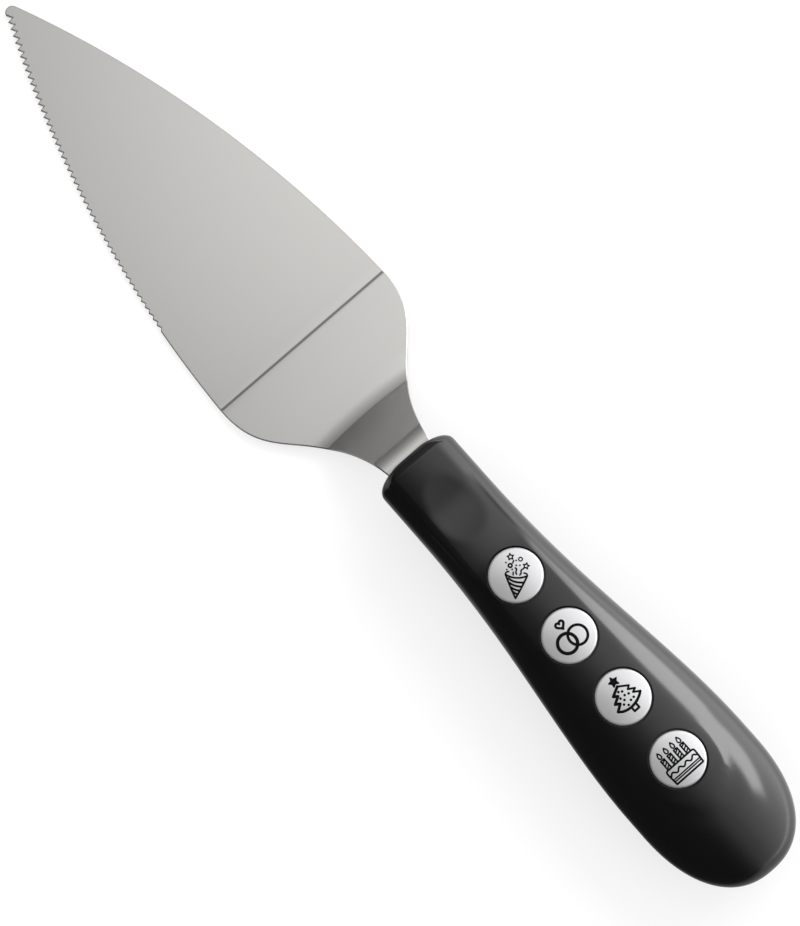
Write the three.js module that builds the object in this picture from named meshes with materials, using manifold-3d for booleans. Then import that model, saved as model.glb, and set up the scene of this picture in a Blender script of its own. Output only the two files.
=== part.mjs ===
// Musical cake knife: a serrated serving blade with a cranked neck, in a two-part plastic handle with
// four melody buttons on top, and a sound board, a speaker and button cells inside.
// Millimetres, +Z up, +X towards the blade's tip, +Y towards the serrated edge. The blade's underside
// and the handle's butt lie on Z = 0, and X = Y = 0 is the middle of the knife's plan box.
import * as THREE from "three";
import { mergeVertices } from "three/addons/utils/BufferGeometryUtils.js";
import Module from "manifold-3d";

const wasm = await Module();
wasm.setup();

// Blade: distances along it run back from the tip
const SHEET = 1.2;
const BLADE_LENGTH = 120.6;
const BLADE_WIDTH = 54.2;
const EDGE_ANGLE = 22.5;
const TIP_RADIUS = 1.8;
const TOOTH_PITCH = 1.9;
const TOOTH_DEPTH = 1.3;
const LAST_TOOTH_DEPTH = 0.6;
const TOOTH_START = 1.4;
const PLAIN_HEEL = 24.4;
const CREASE_ANGLE = 5;
const SHOULDER_LENGTH = 21.62;
const SHOULDER_FULLNESS = 20.9;
const NECK_FULLNESS = 27;
const NECK_FLARE = 0.155;
const LOWER_BEND_RADIUS = 14;
const UPPER_BEND_RADIUS = 6;
const NECK_ANGLE = 42;
const TANG_RISE = 14.9;
const TANG_WIDTH = 13;
const TANG_LENGTH = 29;
const EXPOSED_TANG = 1.2;

// Handle form: distances along it run back from its front end
const FRONT_WIDTH = 22.3;
const BUTT_WIDTH = 35;
const WAIST_LENGTH = 14;
const SWELL_POWER = 1.2;
const FRONT_RISE = 9.4;
const FRONT_LIFT = 5.6;
const REST_SETBACK = 3;
const EDGE_ROUND = 2.3;
const SCOOP_LENGTH = 26;
const SCOOP_DEPTH = 1.5;
const PANEL_LIFT = 0.7;
const PANEL_EDGE = 1.8;
const PANEL_MARGIN = 3;
const PANEL_SPREAD = 1.4;
const BUTT_REACH = 33.2;
const BUTT_ROUND = 25.5;
const SECTION_POWER = 2.4;
const END_POWER = 2.3;
const WALL = 2.2;

// Buttons and their switches
const BUTTONS = ["popper", "rings", "tree", "cake"];
const FIRST_BUTTON = 38.6;
const CAP_DIAMETER = 13.2;
const BUTTON_GAP = 5.4;
const CAP_PROUD = 0.6;
const CAP_CROWN = 0.5;
const CAP_ROUND = 0.5;
const FLANGE_LIP = 0.9;
const FLANGE = 1;
const STEM_DIAMETER = 5.6;
const STEM_LENGTH = 2.2;
const TRAVEL = 1;
const PANEL_WALL = 2;
const DOME_DIAMETER = 10.4;
const DOME_TOP = 1;
const DOME_SKIRT = 0.9;
const PILL_DIAMETER = 4.4;
const PILL_HEIGHT = 0.8;
const CONTACT_GAP = 0.2;

// Sound board
const BOARD = 1.2;
const BOARD_WIDTH = 17;
const BOARD_MARGIN = 7.6;
const BOARD_CORNER = 1.5;
const BOARD_CLEARANCE = 0.9;
const BOARD_SCREW_OFFSET = 5.9;
const BOARD_BOSS = 4.4;
const CHIP_DIAMETER = 7;
const CHIP_HEIGHT = 1.3;
const CHIP_OFFSET = 3.5;
const TRANSISTOR_SIZE = 4.6;
const TRANSISTOR_FLAT = 50;
const RESISTOR_LENGTH = 4.6;
const RESISTOR_DIAMETER = 1.9;
const RESISTOR_WAIST = 1.5;

// Battery tray, contacts and door
const CELL_COUNT = 3;
const CELL_DIAMETER = 11.6;
const CELL_HEIGHT = 5.4;
const CELL_BUTTON = 9.6;
const CELL_STEP = 0.5;
const CELL_PLAY = 0.3;
const TRAY_WALL = 1;
const CONTACT = 0.4;
const CONTACT_WIDTH = 6;
const CONTACT_REACH = 3.6;
const TAB_REACH = 2.4;
const LEAF_BOW = 2.4;
const DOOR_WALL = 1.6;
const DOOR_MARGIN = 2.4;
const DOOR_CORNER = 2.5;
const DOOR_LEDGE = 1.5;
const DOOR_SLEEVE = 6.2;
const DOOR_SINK = 0.4;

// Speaker
const SPEAKER_DIAMETER = 20;
const SPEAKER_SETBACK = 12;
const SPEAKER_RIM = 1.6;
const SPEAKER_RIM_HEIGHT = 1.2;
const SPEAKER_HEIGHT = 3.8;
const BASKET_WALL = 0.8;
const BASKET_TOP = 13.6;
const CONE_SHEET = 0.35;
const DUST_CAP = 6.6;
const DUST_CAP_CROWN = 0.6;
const MAGNET_DIAMETER = 11;
const MAGNET_HEIGHT = 3;
const GASKET = 0.5;
const COLLAR = 1.2;
const SOUND_HOLE = 1.9;
const SOUND_HOLE_STEP = 3.6;

// Screws: each is a head with a flat face and a shank
const SCREW_FACE = 0.6;
const SHELL_SCREW = { head: 4.4, headHeight: 1.6, shank: 2.2, length: 11 };
const DOOR_SCREW = { head: 4, headHeight: 1.3, shank: 2, length: 6.5 };
const BOARD_SCREW = { head: 3.6, headHeight: 1.2, shank: 1.8, length: 4.4 };
const TANG_SCREW_INSET = 10;
const TANG_SCREW_SPACING = 13;
const TANG_POST = 4.6;
const TANG_BOSS = 8;
const SEAT_DEPTH = 4.4;
const REAR_SCREW_SETBACK = 8.4;
const REAR_BOSS = 6.4;
const REAR_BOSS_BURY = 0.9;

// Wires
const WIRE = 1.2;
const WIRE_SPACING = 6.8;

// Clearances: round a piece that drops into a hole, and under a piece that seats on another
const FIT = 0.3;
const SEAT = 0.2;

const rad = THREE.MathUtils.degToRad;
const { clamp, lerp, smoothstep } = THREE.MathUtils;
const vec = (x, y) => new THREE.Vector2(x, y);

// Places along the handle
const pitch = CAP_DIAMETER + BUTTON_GAP;
const buttonAt = BUTTONS.map((_, k) => FIRST_BUTTON + k * pitch);
const lastButton = buttonAt[buttonAt.length - 1];
const handleLength = lastButton + BUTT_REACH;
const roundStart = handleLength - BUTT_ROUND;
const restAt = lastButton + REST_SETBACK;
const tangScrewAt = [TANG_SCREW_INSET, TANG_SCREW_INSET + TANG_SCREW_SPACING];
const rearScrewAt = lastButton - REAR_SCREW_SETBACK;
const speakerAt = lastButton + SPEAKER_SETBACK;
const boardFront = buttonAt[0] - BOARD_MARGIN;
const boardRear = lastButton + BOARD_MARGIN;

// Battery tray along the handle, centred under the two middle buttons
const plusSpace = CONTACT + 2 * SEAT;
const minusSpace = LEAF_BOW + CONTACT + 2 * SEAT;
const cellPitch = CELL_HEIGHT + SEAT;
const trayLength = plusSpace + CELL_COUNT * cellPitch - SEAT + minusSpace;
const trayFront = (buttonAt[0] + lastButton - trayLength) / 2;
const trayRear = trayFront + trayLength;
const trayHalf = CELL_DIAMETER / 2 + CELL_PLAY;
const doorScrewAt = trayRear + TRAY_WALL + DOOR_SLEEVE / 2 + 2 * FIT;
const doorFront = trayFront - DOOR_MARGIN - TRAY_WALL;
const doorRear = doorScrewAt + DOOR_SLEEVE / 2 + TRAY_WALL;
const doorHalf = trayHalf + DOOR_MARGIN;

// Heights in the handle, from the parting plane, which is the middle of the tang
const partingHeight = TANG_RISE + SHEET / 2;
const cellFloor = DOOR_WALL + CELL_PLAY - depthAt(trayFront);
const cellAxis = cellFloor + CELL_DIAMETER / 2;
const trayCeiling = cellFloor + CELL_DIAMETER + CELL_PLAY;
const trayTop = trayCeiling + TRAY_WALL;
const boardBottom = trayTop + BOARD_CLEARANCE;
const boardTop = boardBottom + BOARD;
const domeHeight = CONTACT_GAP + TRAVEL + PILL_HEIGHT + SEAT + DOME_TOP;
const domeTop = boardTop + domeHeight;
const stemBottom = domeTop + SEAT;
const flangeBottom = stemBottom + STEM_LENGTH;
const flangeTop = flangeBottom + FLANGE;
const panelUnder = flangeTop + SEAT;
const panelTop = panelUnder + PANEL_WALL;
const capEdge = panelTop + CAP_PROUD;
const contactTab = cellAxis + CONTACT_REACH;

// Places along the whole knife, back from the tip
const creaseSlope = Math.tan(rad(CREASE_ANGLE));
const lowerBendRun = LOWER_BEND_RADIUS * (Math.sin(rad(NECK_ANGLE)) - Math.sin(rad(CREASE_ANGLE)));
const lowerBendRise = LOWER_BEND_RADIUS * (Math.cos(rad(CREASE_ANGLE)) - Math.cos(rad(NECK_ANGLE)));
const upperBendRun = UPPER_BEND_RADIUS * Math.sin(rad(NECK_ANGLE));
const upperBendRise = UPPER_BEND_RADIUS * (1 - Math.cos(rad(NECK_ANGLE)));
const neckRise = TANG_RISE - SHOULDER_LENGTH * creaseSlope - lowerBendRise - upperBendRise;
const neckRun = neckRise / Math.tan(rad(NECK_ANGLE));
const neckEnd = BLADE_LENGTH + SHOULDER_LENGTH + lowerBendRun + neckRun + upperBendRun;
const handleFront = neckEnd + EXPOSED_TANG;
const overallLength = handleFront + handleLength;

const finish = (color, roughness, metalness = 0) =>
  new THREE.MeshStandardMaterial({ color, roughness, metalness });
const STEEL = finish(0xb9b8b5, 0.35, 1);
const BLACK_PLASTIC = finish(0x1c1c1e, 0.45);
const SILVER_PLASTIC = finish(0xc4c4c6, 0.4, 0.3);
const SILICONE = finish(0xd8d6cf, 0.7);
const CARBON = finish(0x202020, 0.8);
const BOARD_GREEN = finish(0x2d5a34, 0.5);
const EPOXY = finish(0x0e0e0e, 0.35);
const BLUE_CERAMIC = finish(0x7fa6bd, 0.5);
const CELL_STEEL = finish(0xc9c9c6, 0.25, 1);
const SPRING_STEEL = finish(0xd2cfc6, 0.3, 1);
const MAGNET_STEEL = finish(0x8d8d90, 0.4, 1);
const PAPER_CONE = finish(0x2b2b2d, 0.8);
const FOAM = finish(0x3a3a3a, 0.9);
const SCREW_STEEL = finish(0xaaaaac, 0.35, 1);
const RED = finish(0xa81c1c, 0.5);
const BLACK = finish(0x151515, 0.5);

// A closed geometry as a solid that can be joined and cut
function solidOf(geometry) {
  const bare = geometry.index ? geometry.toNonIndexed() : geometry.clone();
  bare.deleteAttribute("normal");
  bare.deleteAttribute("uv");
  const merged = mergeVertices(bare, 1e-4);
  const corners = merged.index.array;
  const kept = [];
  for (let i = 0; i < corners.length; i += 3) {
    const [a, b, c] = corners.slice(i, i + 3);
    if (a !== b && b !== c && c !== a) kept.push(a, b, c);
  }
  const vertProperties = new Float32Array(merged.attributes.position.array);
  const triVerts = new Uint32Array(kept);
  return new wasm.Manifold(new wasm.Mesh({ numProp: 3, vertProperties, triVerts }));
}

function geometryOf(solid) {
  const { numProp, vertProperties, triVerts } = solid.getMesh();
  const geometry = new THREE.BufferGeometry();
  const points = new THREE.InterleavedBuffer(vertProperties, numProp);
  geometry.setAttribute("position", new THREE.InterleavedBufferAttribute(points, 3, 0));
  geometry.setIndex(new THREE.BufferAttribute(triVerts, 1));
  const flat = geometry.toNonIndexed();
  flat.computeVertexNormals();
  return flat;
}

const joined = (solids) => solids.reduce((sum, solid) => sum.add(solid));

// Box given by its lowest and highest corners
function block([x0, y0, z0], [x1, y1, z1]) {
  const box = new THREE.BoxGeometry(x1 - x0, y1 - y0, z1 - z0);
  return box.translate((x0 + x1) / 2, (y0 + y1) / 2, (z0 + z1) / 2);
}

// Upright round bar between two heights
function rod(diameter, low, high, x = 0, y = 0, sides = 14) {
  const bar = new THREE.CylinderGeometry(diameter / 2, diameter / 2, high - low, sides);
  return bar.rotateX(Math.PI / 2).translate(x, y, (low + high) / 2);
}

// Solid of revolution about Z from [radius, height] pairs
function turned(profile, sides = 20) {
  return new THREE.LatheGeometry(profile.map(([r, z]) => vec(r, z)), sides).rotateX(Math.PI / 2);
}

// Plan outline raised between two heights
function prism(shape, low, high) {
  const options = { depth: high - low, bevelEnabled: false, curveSegments: 5 };
  return new THREE.ExtrudeGeometry(shape, options).translate(0, 0, low);
}

// Side profile in X and Z, drawn out to a width across Y
function drawnAcross(shape, width) {
  const drawn = new THREE.ExtrudeGeometry(shape, { depth: width, bevelEnabled: false });
  return drawn.rotateX(Math.PI / 2).translate(0, width / 2, 0);
}

function roundedRectangle(x0, x1, y0, y1, radius) {
  const shape = new THREE.Shape();
  shape.absarc(x1 - radius, y1 - radius, radius, 0, Math.PI / 2);
  shape.absarc(x0 + radius, y1 - radius, radius, Math.PI / 2, Math.PI);
  shape.absarc(x0 + radius, y0 + radius, radius, Math.PI, 1.5 * Math.PI);
  shape.absarc(x1 - radius, y0 + radius, radius, 1.5 * Math.PI, 2 * Math.PI);
  return shape;
}

// Outline of a bent strip: a path with its material from one offset to the other, mitred at each corner
function strip(path, from, to) {
  const last = path.length - 1;
  const direction = (k) => path[clamp(k + 1, 1, last)].clone().sub(path[clamp(k, 0, last - 1)]);
  const sides = path.map((_, k) => {
    const before = direction(k - 1).normalize();
    const after = direction(k).normalize();
    const mitre = vec(-before.y - after.y, before.x + after.x).normalize();
    return mitre.divideScalar(mitre.dot(vec(-after.y, after.x)));
  });
  const offset = (distance) => path.map((point, k) => point.clone().addScaledVector(sides[k], distance));
  return new THREE.Shape([...offset(from), ...offset(to).reverse()]);
}

// Blade

// Each edge is one arc, tangent to the round tip and ending at the crease
function edgeArc() {
  const angle = rad(EDGE_ANGLE);
  const start = vec(TIP_RADIUS * (1 - Math.sin(angle)), TIP_RADIUS * Math.cos(angle));
  const chord = vec(BLADE_LENGTH, BLADE_WIDTH / 2).sub(start);
  const radius = chord.length() / (2 * Math.sin(angle - chord.angle()));
  const centre = start.clone().addScaledVector(vec(Math.sin(angle), -Math.cos(angle)), radius);
  const halfWidth = (s) => centre.y + Math.sqrt(radius ** 2 - (s - centre.x) ** 2);
  const slope = (s) => Math.asin((centre.x - s) / radius);
  return { start, halfWidth, slope };
}

function edgePoints(arc, from, to, steps) {
  return Array.from({ length: steps + 1 }, (_, k) => {
    const s = lerp(from, to, k / steps);
    return vec(s, arc.halfWidth(s));
  });
}

// Teeth are notches square to the edge, shallower towards the heel
function toothPoints(arc) {
  const count = Math.floor((BLADE_LENGTH - PLAIN_HEEL - TOOTH_START) / TOOTH_PITCH);
  const points = [];
  for (let k = 0; k < count; k += 1) {
    const peak = TOOTH_START + k * TOOTH_PITCH;
    const middle = peak + TOOTH_PITCH / 2;
    const depth = lerp(TOOTH_DEPTH, LAST_TOOTH_DEPTH, k / count);
    const slope = arc.slope(middle);
    points.push(vec(peak, arc.halfWidth(peak)));
    points.push(vec(middle + depth * Math.sin(slope), arc.halfWidth(middle) - depth * Math.cos(slope)));
  }
  return points;
}

function shoulderPoints() {
  const heel = vec(BLADE_LENGTH, BLADE_WIDTH / 2);
  const entry = vec(handleFront, TANG_WIDTH / 2);
  const heelPull = heel.clone().add(vec(SHOULDER_FULLNESS, 0));
  const entryPull = entry.clone().add(vec(-NECK_FULLNESS, NECK_FULLNESS * NECK_FLARE));
  return new THREE.CubicBezierCurve(heel, heelPull, entryPull, entry).getPoints(12);
}

function bladePlan() {
  const arc = edgeArc();
  const tip = [];
  for (let angle = -90 + EDGE_ANGLE; angle <= 90 - EDGE_ANGLE; angle += (90 - EDGE_ANGLE) / 3) {
    tip.push(vec(TIP_RADIUS * (Math.cos(rad(angle)) - 1), TIP_RADIUS * Math.sin(rad(angle))));
  }
  const teeth = toothPoints(arc);
  const lastNotch = teeth[teeth.length - 1].x + TOOTH_PITCH / 2;
  const back = [...shoulderPoints().slice(1), vec(handleFront + TANG_LENGTH, TANG_WIDTH / 2)];
  const plain = [...edgePoints(arc, arc.start.x, BLADE_LENGTH, 16).slice(1), ...back];
  const toothed = [...teeth, ...edgePoints(arc, lastNotch, BLADE_LENGTH, 4), ...back];
  const left = toothed.map(({ x, y }) => vec(-x, y));
  const right = plain.map(({ x, y }) => vec(-x, -y));
  return new THREE.Shape([...tip, ...left, ...right.reverse()]);
}

// Underside of the sheet from the tip to the end of the tang
function bladeProfile() {
  const bendSteps = 6;
  const path = [vec(0, 0), vec(BLADE_LENGTH, 0)];
  const bendStart = vec(BLADE_LENGTH + SHOULDER_LENGTH, SHOULDER_LENGTH * creaseSlope);
  for (let k = 0; k <= bendSteps; k += 1) {
    const angle = rad(lerp(CREASE_ANGLE, NECK_ANGLE, k / bendSteps));
    const run = LOWER_BEND_RADIUS * (Math.sin(angle) - Math.sin(rad(CREASE_ANGLE)));
    const rise = LOWER_BEND_RADIUS * (Math.cos(rad(CREASE_ANGLE)) - Math.cos(angle));
    path.push(bendStart.clone().add(vec(run, rise)));
  }
  for (let k = 0; k <= bendSteps; k += 1) {
    const angle = rad(lerp(NECK_ANGLE, 0, k / bendSteps));
    const run = UPPER_BEND_RADIUS * Math.sin(angle);
    const drop = UPPER_BEND_RADIUS * (1 - Math.cos(angle));
    path.push(vec(neckEnd - run, TANG_RISE - drop));
  }
  path.push(vec(handleFront + TANG_LENGTH, TANG_RISE));
  return path;
}

function blade() {
  const underside = bladeProfile().map(({ x, y }) => vec(-x, y));
  const sheet = solidOf(drawnAcross(strip(underside, 0, -SHEET), 2 * BLADE_WIDTH));
  const outline = solidOf(prism(bladePlan(), -TANG_RISE, 2 * TANG_RISE));
  const holes = tangScrewAt.map((t) =>
    solidOf(rod(TANG_POST + 2 * FIT, 0, 2 * TANG_RISE, -handleFront - t)),
  );
  return geometryOf(sheet.intersect(outline).subtract(joined(holes)));
}

// Handle form

function halfWidthAt(t) {
  const share = clamp((t - WAIST_LENGTH) / (restAt - WAIST_LENGTH), 0, 1);
  return lerp(FRONT_WIDTH / 2, BUTT_WIDTH / 2, smoothstep(share ** SWELL_POWER, 0, 1));
}

// Height of the top above the parting plane: front end, thumb scoop, then the level of the button panel
function riseAt(t) {
  const panelFront = buttonAt[0] - CAP_DIAMETER / 2 - PANEL_MARGIN;
  const level = lerp(FRONT_RISE, panelTop - PANEL_LIFT, smoothstep(t, SCOOP_LENGTH / 2, panelFront));
  const across = clamp((2 * t) / SCOOP_LENGTH - 1, -1, 1);
  return level - SCOOP_DEPTH * (1 - across ** 2) ** 2;
}

// Depth of the underside below the parting plane: it lifts off the table towards the front
function depthAt(t) {
  return partingHeight - FRONT_LIFT * Math.max(0, 1 - t / restAt) ** 2;
}

// How far a point on top is raised: the button panel stands proud of the form and is flatter
function panelLift(t, y, crest, height) {
  const nearest = clamp(t, buttonAt[0], lastButton);
  const share = (nearest - buttonAt[0]) / (lastButton - buttonAt[0]);
  const reach = CAP_DIAMETER / 2 + PANEL_MARGIN + PANEL_SPREAD * share ** 2;
  const outside = Math.hypot(t - nearest, y) - reach;
  const blend = 1 - smoothstep(outside, -PANEL_EDGE, 0);
  return blend * (PANEL_LIFT + (crest - height) / 2);
}

const rounded = (share, power) => Math.max(0, 1 - Math.abs(share) ** power) ** (1 / power);
const swelled = (value) => Math.sign(value) * Math.abs(value) ** (2 / SECTION_POWER);

// One cross-section of the form, drawn in by a wall and by the round of the front edge
function section(t, wall, edge, points, withPanel) {
  const end = handleLength - wall;
  const taper = rounded(clamp((t - roundStart) / (end - roundStart), 0, 1), END_POWER);
  const half = (halfWidthAt(t) - wall - edge) * taper;
  const rise = (riseAt(t) - wall - edge) * taper;
  const depth = (depthAt(t) - wall - edge) * taper;
  return Array.from({ length: points }, (_, k) => {
    const angle = (2 * Math.PI * k) / points;
    const y = half * swelled(Math.cos(angle));
    const z = (k < points / 2 ? rise : depth) * swelled(Math.sin(angle));
    const lift = withPanel && z > 0 ? panelLift(t, y, rise, z) : 0;
    return new THREE.Vector3(-t, y, z + lift);
  });
}

// The form drawn in by a wall: 0 gives the outside, WALL the cavity
function handleForm(wall, points, steps, withPanel = false) {
  const end = handleLength - wall;
  const rings = [];
  const front = wall === 0 ? EDGE_ROUND : 0;
  for (const angle of front ? [0, 45] : []) {
    const t = front * (1 - Math.cos(rad(angle)));
    rings.push(section(t, wall, front * (1 - Math.sin(rad(angle))), points, withPanel));
  }
  for (let k = 0; k < steps; k += 1) {
    rings.push(section(lerp(wall + front, roundStart, k / steps), wall, 0, points, withPanel));
  }
  for (let angle = 0; angle < 90; angle += 11.25) {
    const t = roundStart + (end - roundStart) * Math.sin(rad(angle));
    rings.push(section(t, wall, 0, points, withPanel));
  }
  return solidOf(loft(rings, new THREE.Vector3(rings[0][0].x, 0, 0), new THREE.Vector3(-end, 0, 0)));
}

const innerForm = (wall) => handleForm(wall, 20, 10);

// Skin over rings of points, closed by a fan at each end
function loft(rings, first, last) {
  const points = rings[0].length;
  const corners = [...rings.flat(), first, last];
  const firstIndex = corners.length - 2;
  const faces = [];
  for (let k = 0; k < points; k += 1) {
    const next = (k + 1) % points;
    faces.push(firstIndex, k, next);
    for (let ring = 0; ring < rings.length - 1; ring += 1) {
      const near = ring * points;
      const far = near + points;
      faces.push(near + k, far + k, far + next, near + k, far + next, near + next);
    }
    const end = (rings.length - 1) * points;
    faces.push(firstIndex + 1, end + next, end + k);
  }
  const geometry = new THREE.BufferGeometry().setFromPoints(corners);
  return geometry.setIndex(faces);
}

// Height of the cavity's floor at a place in the handle
function floorAt(t, y) {
  const end = handleLength - WALL;
  const taper = rounded(clamp((t - roundStart) / (end - roundStart), 0, 1), END_POWER);
  const half = (halfWidthAt(t) - WALL) * taper;
  return -(depthAt(t) - WALL) * taper * rounded(Math.min(1, y / half), SECTION_POWER);
}

const outside = handleForm(0, 32, 18, true);
const cavity = innerForm(WALL);
const buried = innerForm(WALL / 2);
const reach = 2 * handleLength;
const aboveParting = solidOf(block([-reach, -reach, 0], [reach, reach, reach]));
const belowParting = solidOf(block([-reach, -reach, -reach], [reach, reach, 0]));
const tangSlot = solidOf(
  block(
    [-TANG_LENGTH - FIT, -TANG_WIDTH / 2 - FIT, -SHEET / 2 - FIT],
    [handleFront, TANG_WIDTH / 2 + FIT, SHEET / 2 + FIT],
  ),
);

// Screw places in the handle: height of the seat under each head
const rearScrewSide = halfWidthAt(rearScrewAt) - WALL - REAR_BOSS / 2 + REAR_BOSS_BURY;
const shellScrews = [
  ...tangScrewAt.map((t) => ({ t, y: 0, seat: SEAT_DEPTH - depthAt(t) })),
  ...[1, -1].map((side) => ({
    t: rearScrewAt,
    y: side * rearScrewSide,
    seat: floorAt(rearScrewAt, rearScrewSide) + SHELL_SCREW.headHeight,
  })),
];
const boardScrews = [
  { t: buttonAt[0] + pitch / 2, y: BOARD_SCREW_OFFSET },
  { t: lastButton - pitch / 2, y: -BOARD_SCREW_OFFSET },
];
const doorScrewSeat = DOOR_SINK + DOOR_SCREW.headHeight - depthAt(doorScrewAt);
const sleeveTop = doorScrewSeat + DOOR_LEDGE;

const shankBore = ({ shank }) => shank + 2 * SEAT;
const headBore = ({ head }) => head + 2 * FIT;

function topShell() {
  const hole = CAP_DIAMETER + 2 * FIT;
  const well = hole + 2 * FLANGE_LIP;
  const wells = buttonAt.map((t) => solidOf(rod(well, 0, panelUnder, -t, 0, 24)));
  const holes = buttonAt.map((t) => solidOf(rod(hole, 0, 2 * panelTop, -t, 0, 24)));
  const tangPosts = tangScrewAt.map((t) => solidOf(rod(TANG_POST, -SHEET / 2, riseAt(t), -t)));
  const tangCollars = tangScrewAt.map((t) => solidOf(rod(TANG_BOSS, SHEET / 2 + FIT, riseAt(t), -t)));
  const rearPosts = shellScrews.slice(2).map(({ t, y }) => solidOf(rod(REAR_BOSS, 0, panelTop, -t, y)));
  const boardPosts = boardScrews.map(({ t, y }) =>
    solidOf(rod(BOARD_BOSS, boardTop + SEAT, panelTop, -t, y)),
  );
  const posts = joined([...tangCollars, ...tangPosts, ...rearPosts, ...boardPosts]).intersect(buried);
  const pilots = [
    ...shellScrews.map(({ t, y, seat }) =>
      solidOf(rod(shankBore(SHELL_SCREW), -partingHeight, seat + SHELL_SCREW.length + SEAT, -t, y, 12)),
    ),
    ...boardScrews.map(({ t, y }) =>
      solidOf(rod(shankBore(BOARD_SCREW), 0, boardBottom + BOARD_SCREW.length + SEAT, -t, y, 12)),
    ),
  ];
  const hollow = outside.intersect(aboveParting).subtract(cavity).subtract(joined(wells));
  const fronted = hollow.subtract(tangSlot);
  return geometryOf(fronted.add(posts).subtract(joined([...holes, ...pilots])));
}

// Battery tray walls and ceiling, before their inside is cut
function trayBlock() {
  const low = [-trayRear - TRAY_WALL, -trayHalf - TRAY_WALL, -partingHeight];
  return solidOf(block(low, [-trayFront + TRAY_WALL, trayHalf + TRAY_WALL, trayTop]));
}

function trayInside() {
  return solidOf(block([-trayRear, -trayHalf, -2 * partingHeight], [-trayFront, trayHalf, trayCeiling]));
}

// Slots through the tray's end walls for the contacts' tabs
function tabSlots() {
  const half = CONTACT_WIDTH / 2 + FIT;
  const low = contactTab - CONTACT / 2 - FIT;
  const high = contactTab + CONTACT / 2 + FIT;
  return [trayFront, trayRear].map((t) => {
    const through = TRAY_WALL + FIT;
    return solidOf(block([-t - through, -half, low], [-t + through, half, high]));
  });
}

function doorPrism(grow) {
  const half = doorHalf + grow;
  const shape = roundedRectangle(-doorRear - grow, -doorFront + grow, -half, half, DOOR_CORNER + grow);
  return solidOf(prism(shape, -2 * partingHeight, 0));
}

// The speaker's seat clears the cavity's floor all round its rim
function speakerSeat() {
  const heights = [];
  for (let angle = 0; angle < 360; angle += 15) {
    const radius = SPEAKER_DIAMETER / 2 + FIT;
    const t = speakerAt + radius * Math.cos(rad(angle));
    heights.push(floorAt(t, Math.abs(radius * Math.sin(rad(angle)))));
  }
  return Math.max(...heights) + SEAT;
}

const gasketBottom = speakerSeat() + SEAT;
const speakerBottom = gasketBottom + GASKET;
const basketTop = speakerBottom + SPEAKER_HEIGHT;

function soundHoles() {
  const places = [[0, 0]];
  for (const [ring, count] of [6, 12].entries()) {
    for (let k = 0; k < count; k += 1) {
      const angle = (2 * Math.PI * k) / count;
      const radius = (ring + 1) * SOUND_HOLE_STEP;
      places.push([radius * Math.cos(angle), radius * Math.sin(angle)]);
    }
  }
  return places.map(([x, y]) =>
    solidOf(rod(SOUND_HOLE, -2 * partingHeight, speakerSeat(), x - speakerAt, y, 6)),
  );
}

function speakerRing() {
  const bore = SPEAKER_DIAMETER + 2 * FIT;
  const throat = SPEAKER_DIAMETER - 2 * SPEAKER_RIM;
  const seat = speakerSeat();
  const top = speakerBottom + SPEAKER_RIM_HEIGHT / 2;
  const ring = solidOf(rod(bore + 2 * COLLAR, -partingHeight, top, -speakerAt, 0, 20));
  const pocket = solidOf(rod(bore, seat, 0, -speakerAt, 0, 20));
  const front = solidOf(rod(throat, WALL - partingHeight, seat + SEAT, -speakerAt, 0, 20));
  return ring.subtract(pocket).subtract(front);
}

function bottomShell() {
  const hollow = outside.intersect(belowParting).subtract(cavity).subtract(tangSlot);
  const doorFrame = doorPrism(DOOR_MARGIN).subtract(innerForm(DOOR_WALL + SEAT + DOOR_LEDGE));
  const tangBosses = tangScrewAt.map((t) => solidOf(rod(TANG_BOSS, -depthAt(t), -SHEET / 2 - FIT, -t)));
  const rearBosses = shellScrews.slice(2).map(({ t, y }) =>
    solidOf(rod(REAR_BOSS, -partingHeight, -SEAT, -t, y)),
  );
  const boss = solidOf(
    rod(DOOR_SLEEVE, sleeveTop + SEAT, doorScrewSeat + DOOR_SCREW.length + TRAY_WALL, -doorScrewAt),
  );
  const web = solidOf(
    block(
      [-doorScrewAt, -TRAY_WALL, sleeveTop + SEAT],
      [-trayRear, TRAY_WALL, doorScrewSeat + DOOR_SCREW.length],
    ),
  );
  const added = joined([doorFrame, trayBlock(), ...tangBosses, ...rearBosses, boss, web, speakerRing()]);
  const doorway = doorPrism(FIT).subtract(innerForm(DOOR_WALL + SEAT));
  const sleeveBore = DOOR_SLEEVE + 2 * FIT;
  const sleeveHole = solidOf(rod(sleeveBore, -2 * partingHeight, sleeveTop + SEAT, -doorScrewAt));
  const screwCuts = shellScrews.flatMap(({ t, y, seat }) => [
    solidOf(rod(headBore(SHELL_SCREW), -2 * partingHeight, seat, -t, y)),
    solidOf(rod(shankBore(SHELL_SCREW), -partingHeight, 0, -t, y, 12)),
  ]);
  const pilotTop = doorScrewSeat + DOOR_SCREW.length + SEAT;
  const doorPilot = solidOf(rod(shankBore(DOOR_SCREW), -partingHeight, pilotTop, -doorScrewAt, 0, 12));
  const doorCuts = [doorway, trayInside(), sleeveHole, doorPilot];
  const cuts = joined([...doorCuts, ...tabSlots(), ...screwCuts, ...soundHoles()]);
  return geometryOf(hollow.add(added.intersect(buried)).subtract(cuts));
}

function batteryDoor() {
  const plate = outside.intersect(doorPrism(0)).subtract(innerForm(DOOR_WALL));
  const sleeve = solidOf(rod(DOOR_SLEEVE, -partingHeight, sleeveTop, -doorScrewAt)).intersect(buried);
  const headCut = solidOf(rod(headBore(DOOR_SCREW), -2 * partingHeight, doorScrewSeat, -doorScrewAt));
  const shankCut = solidOf(rod(shankBore(DOOR_SCREW), -2 * partingHeight, 0, -doorScrewAt, 0, 12));
  return geometryOf(plate.add(sleeve).subtract(headCut).subtract(shankCut));
}

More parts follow.
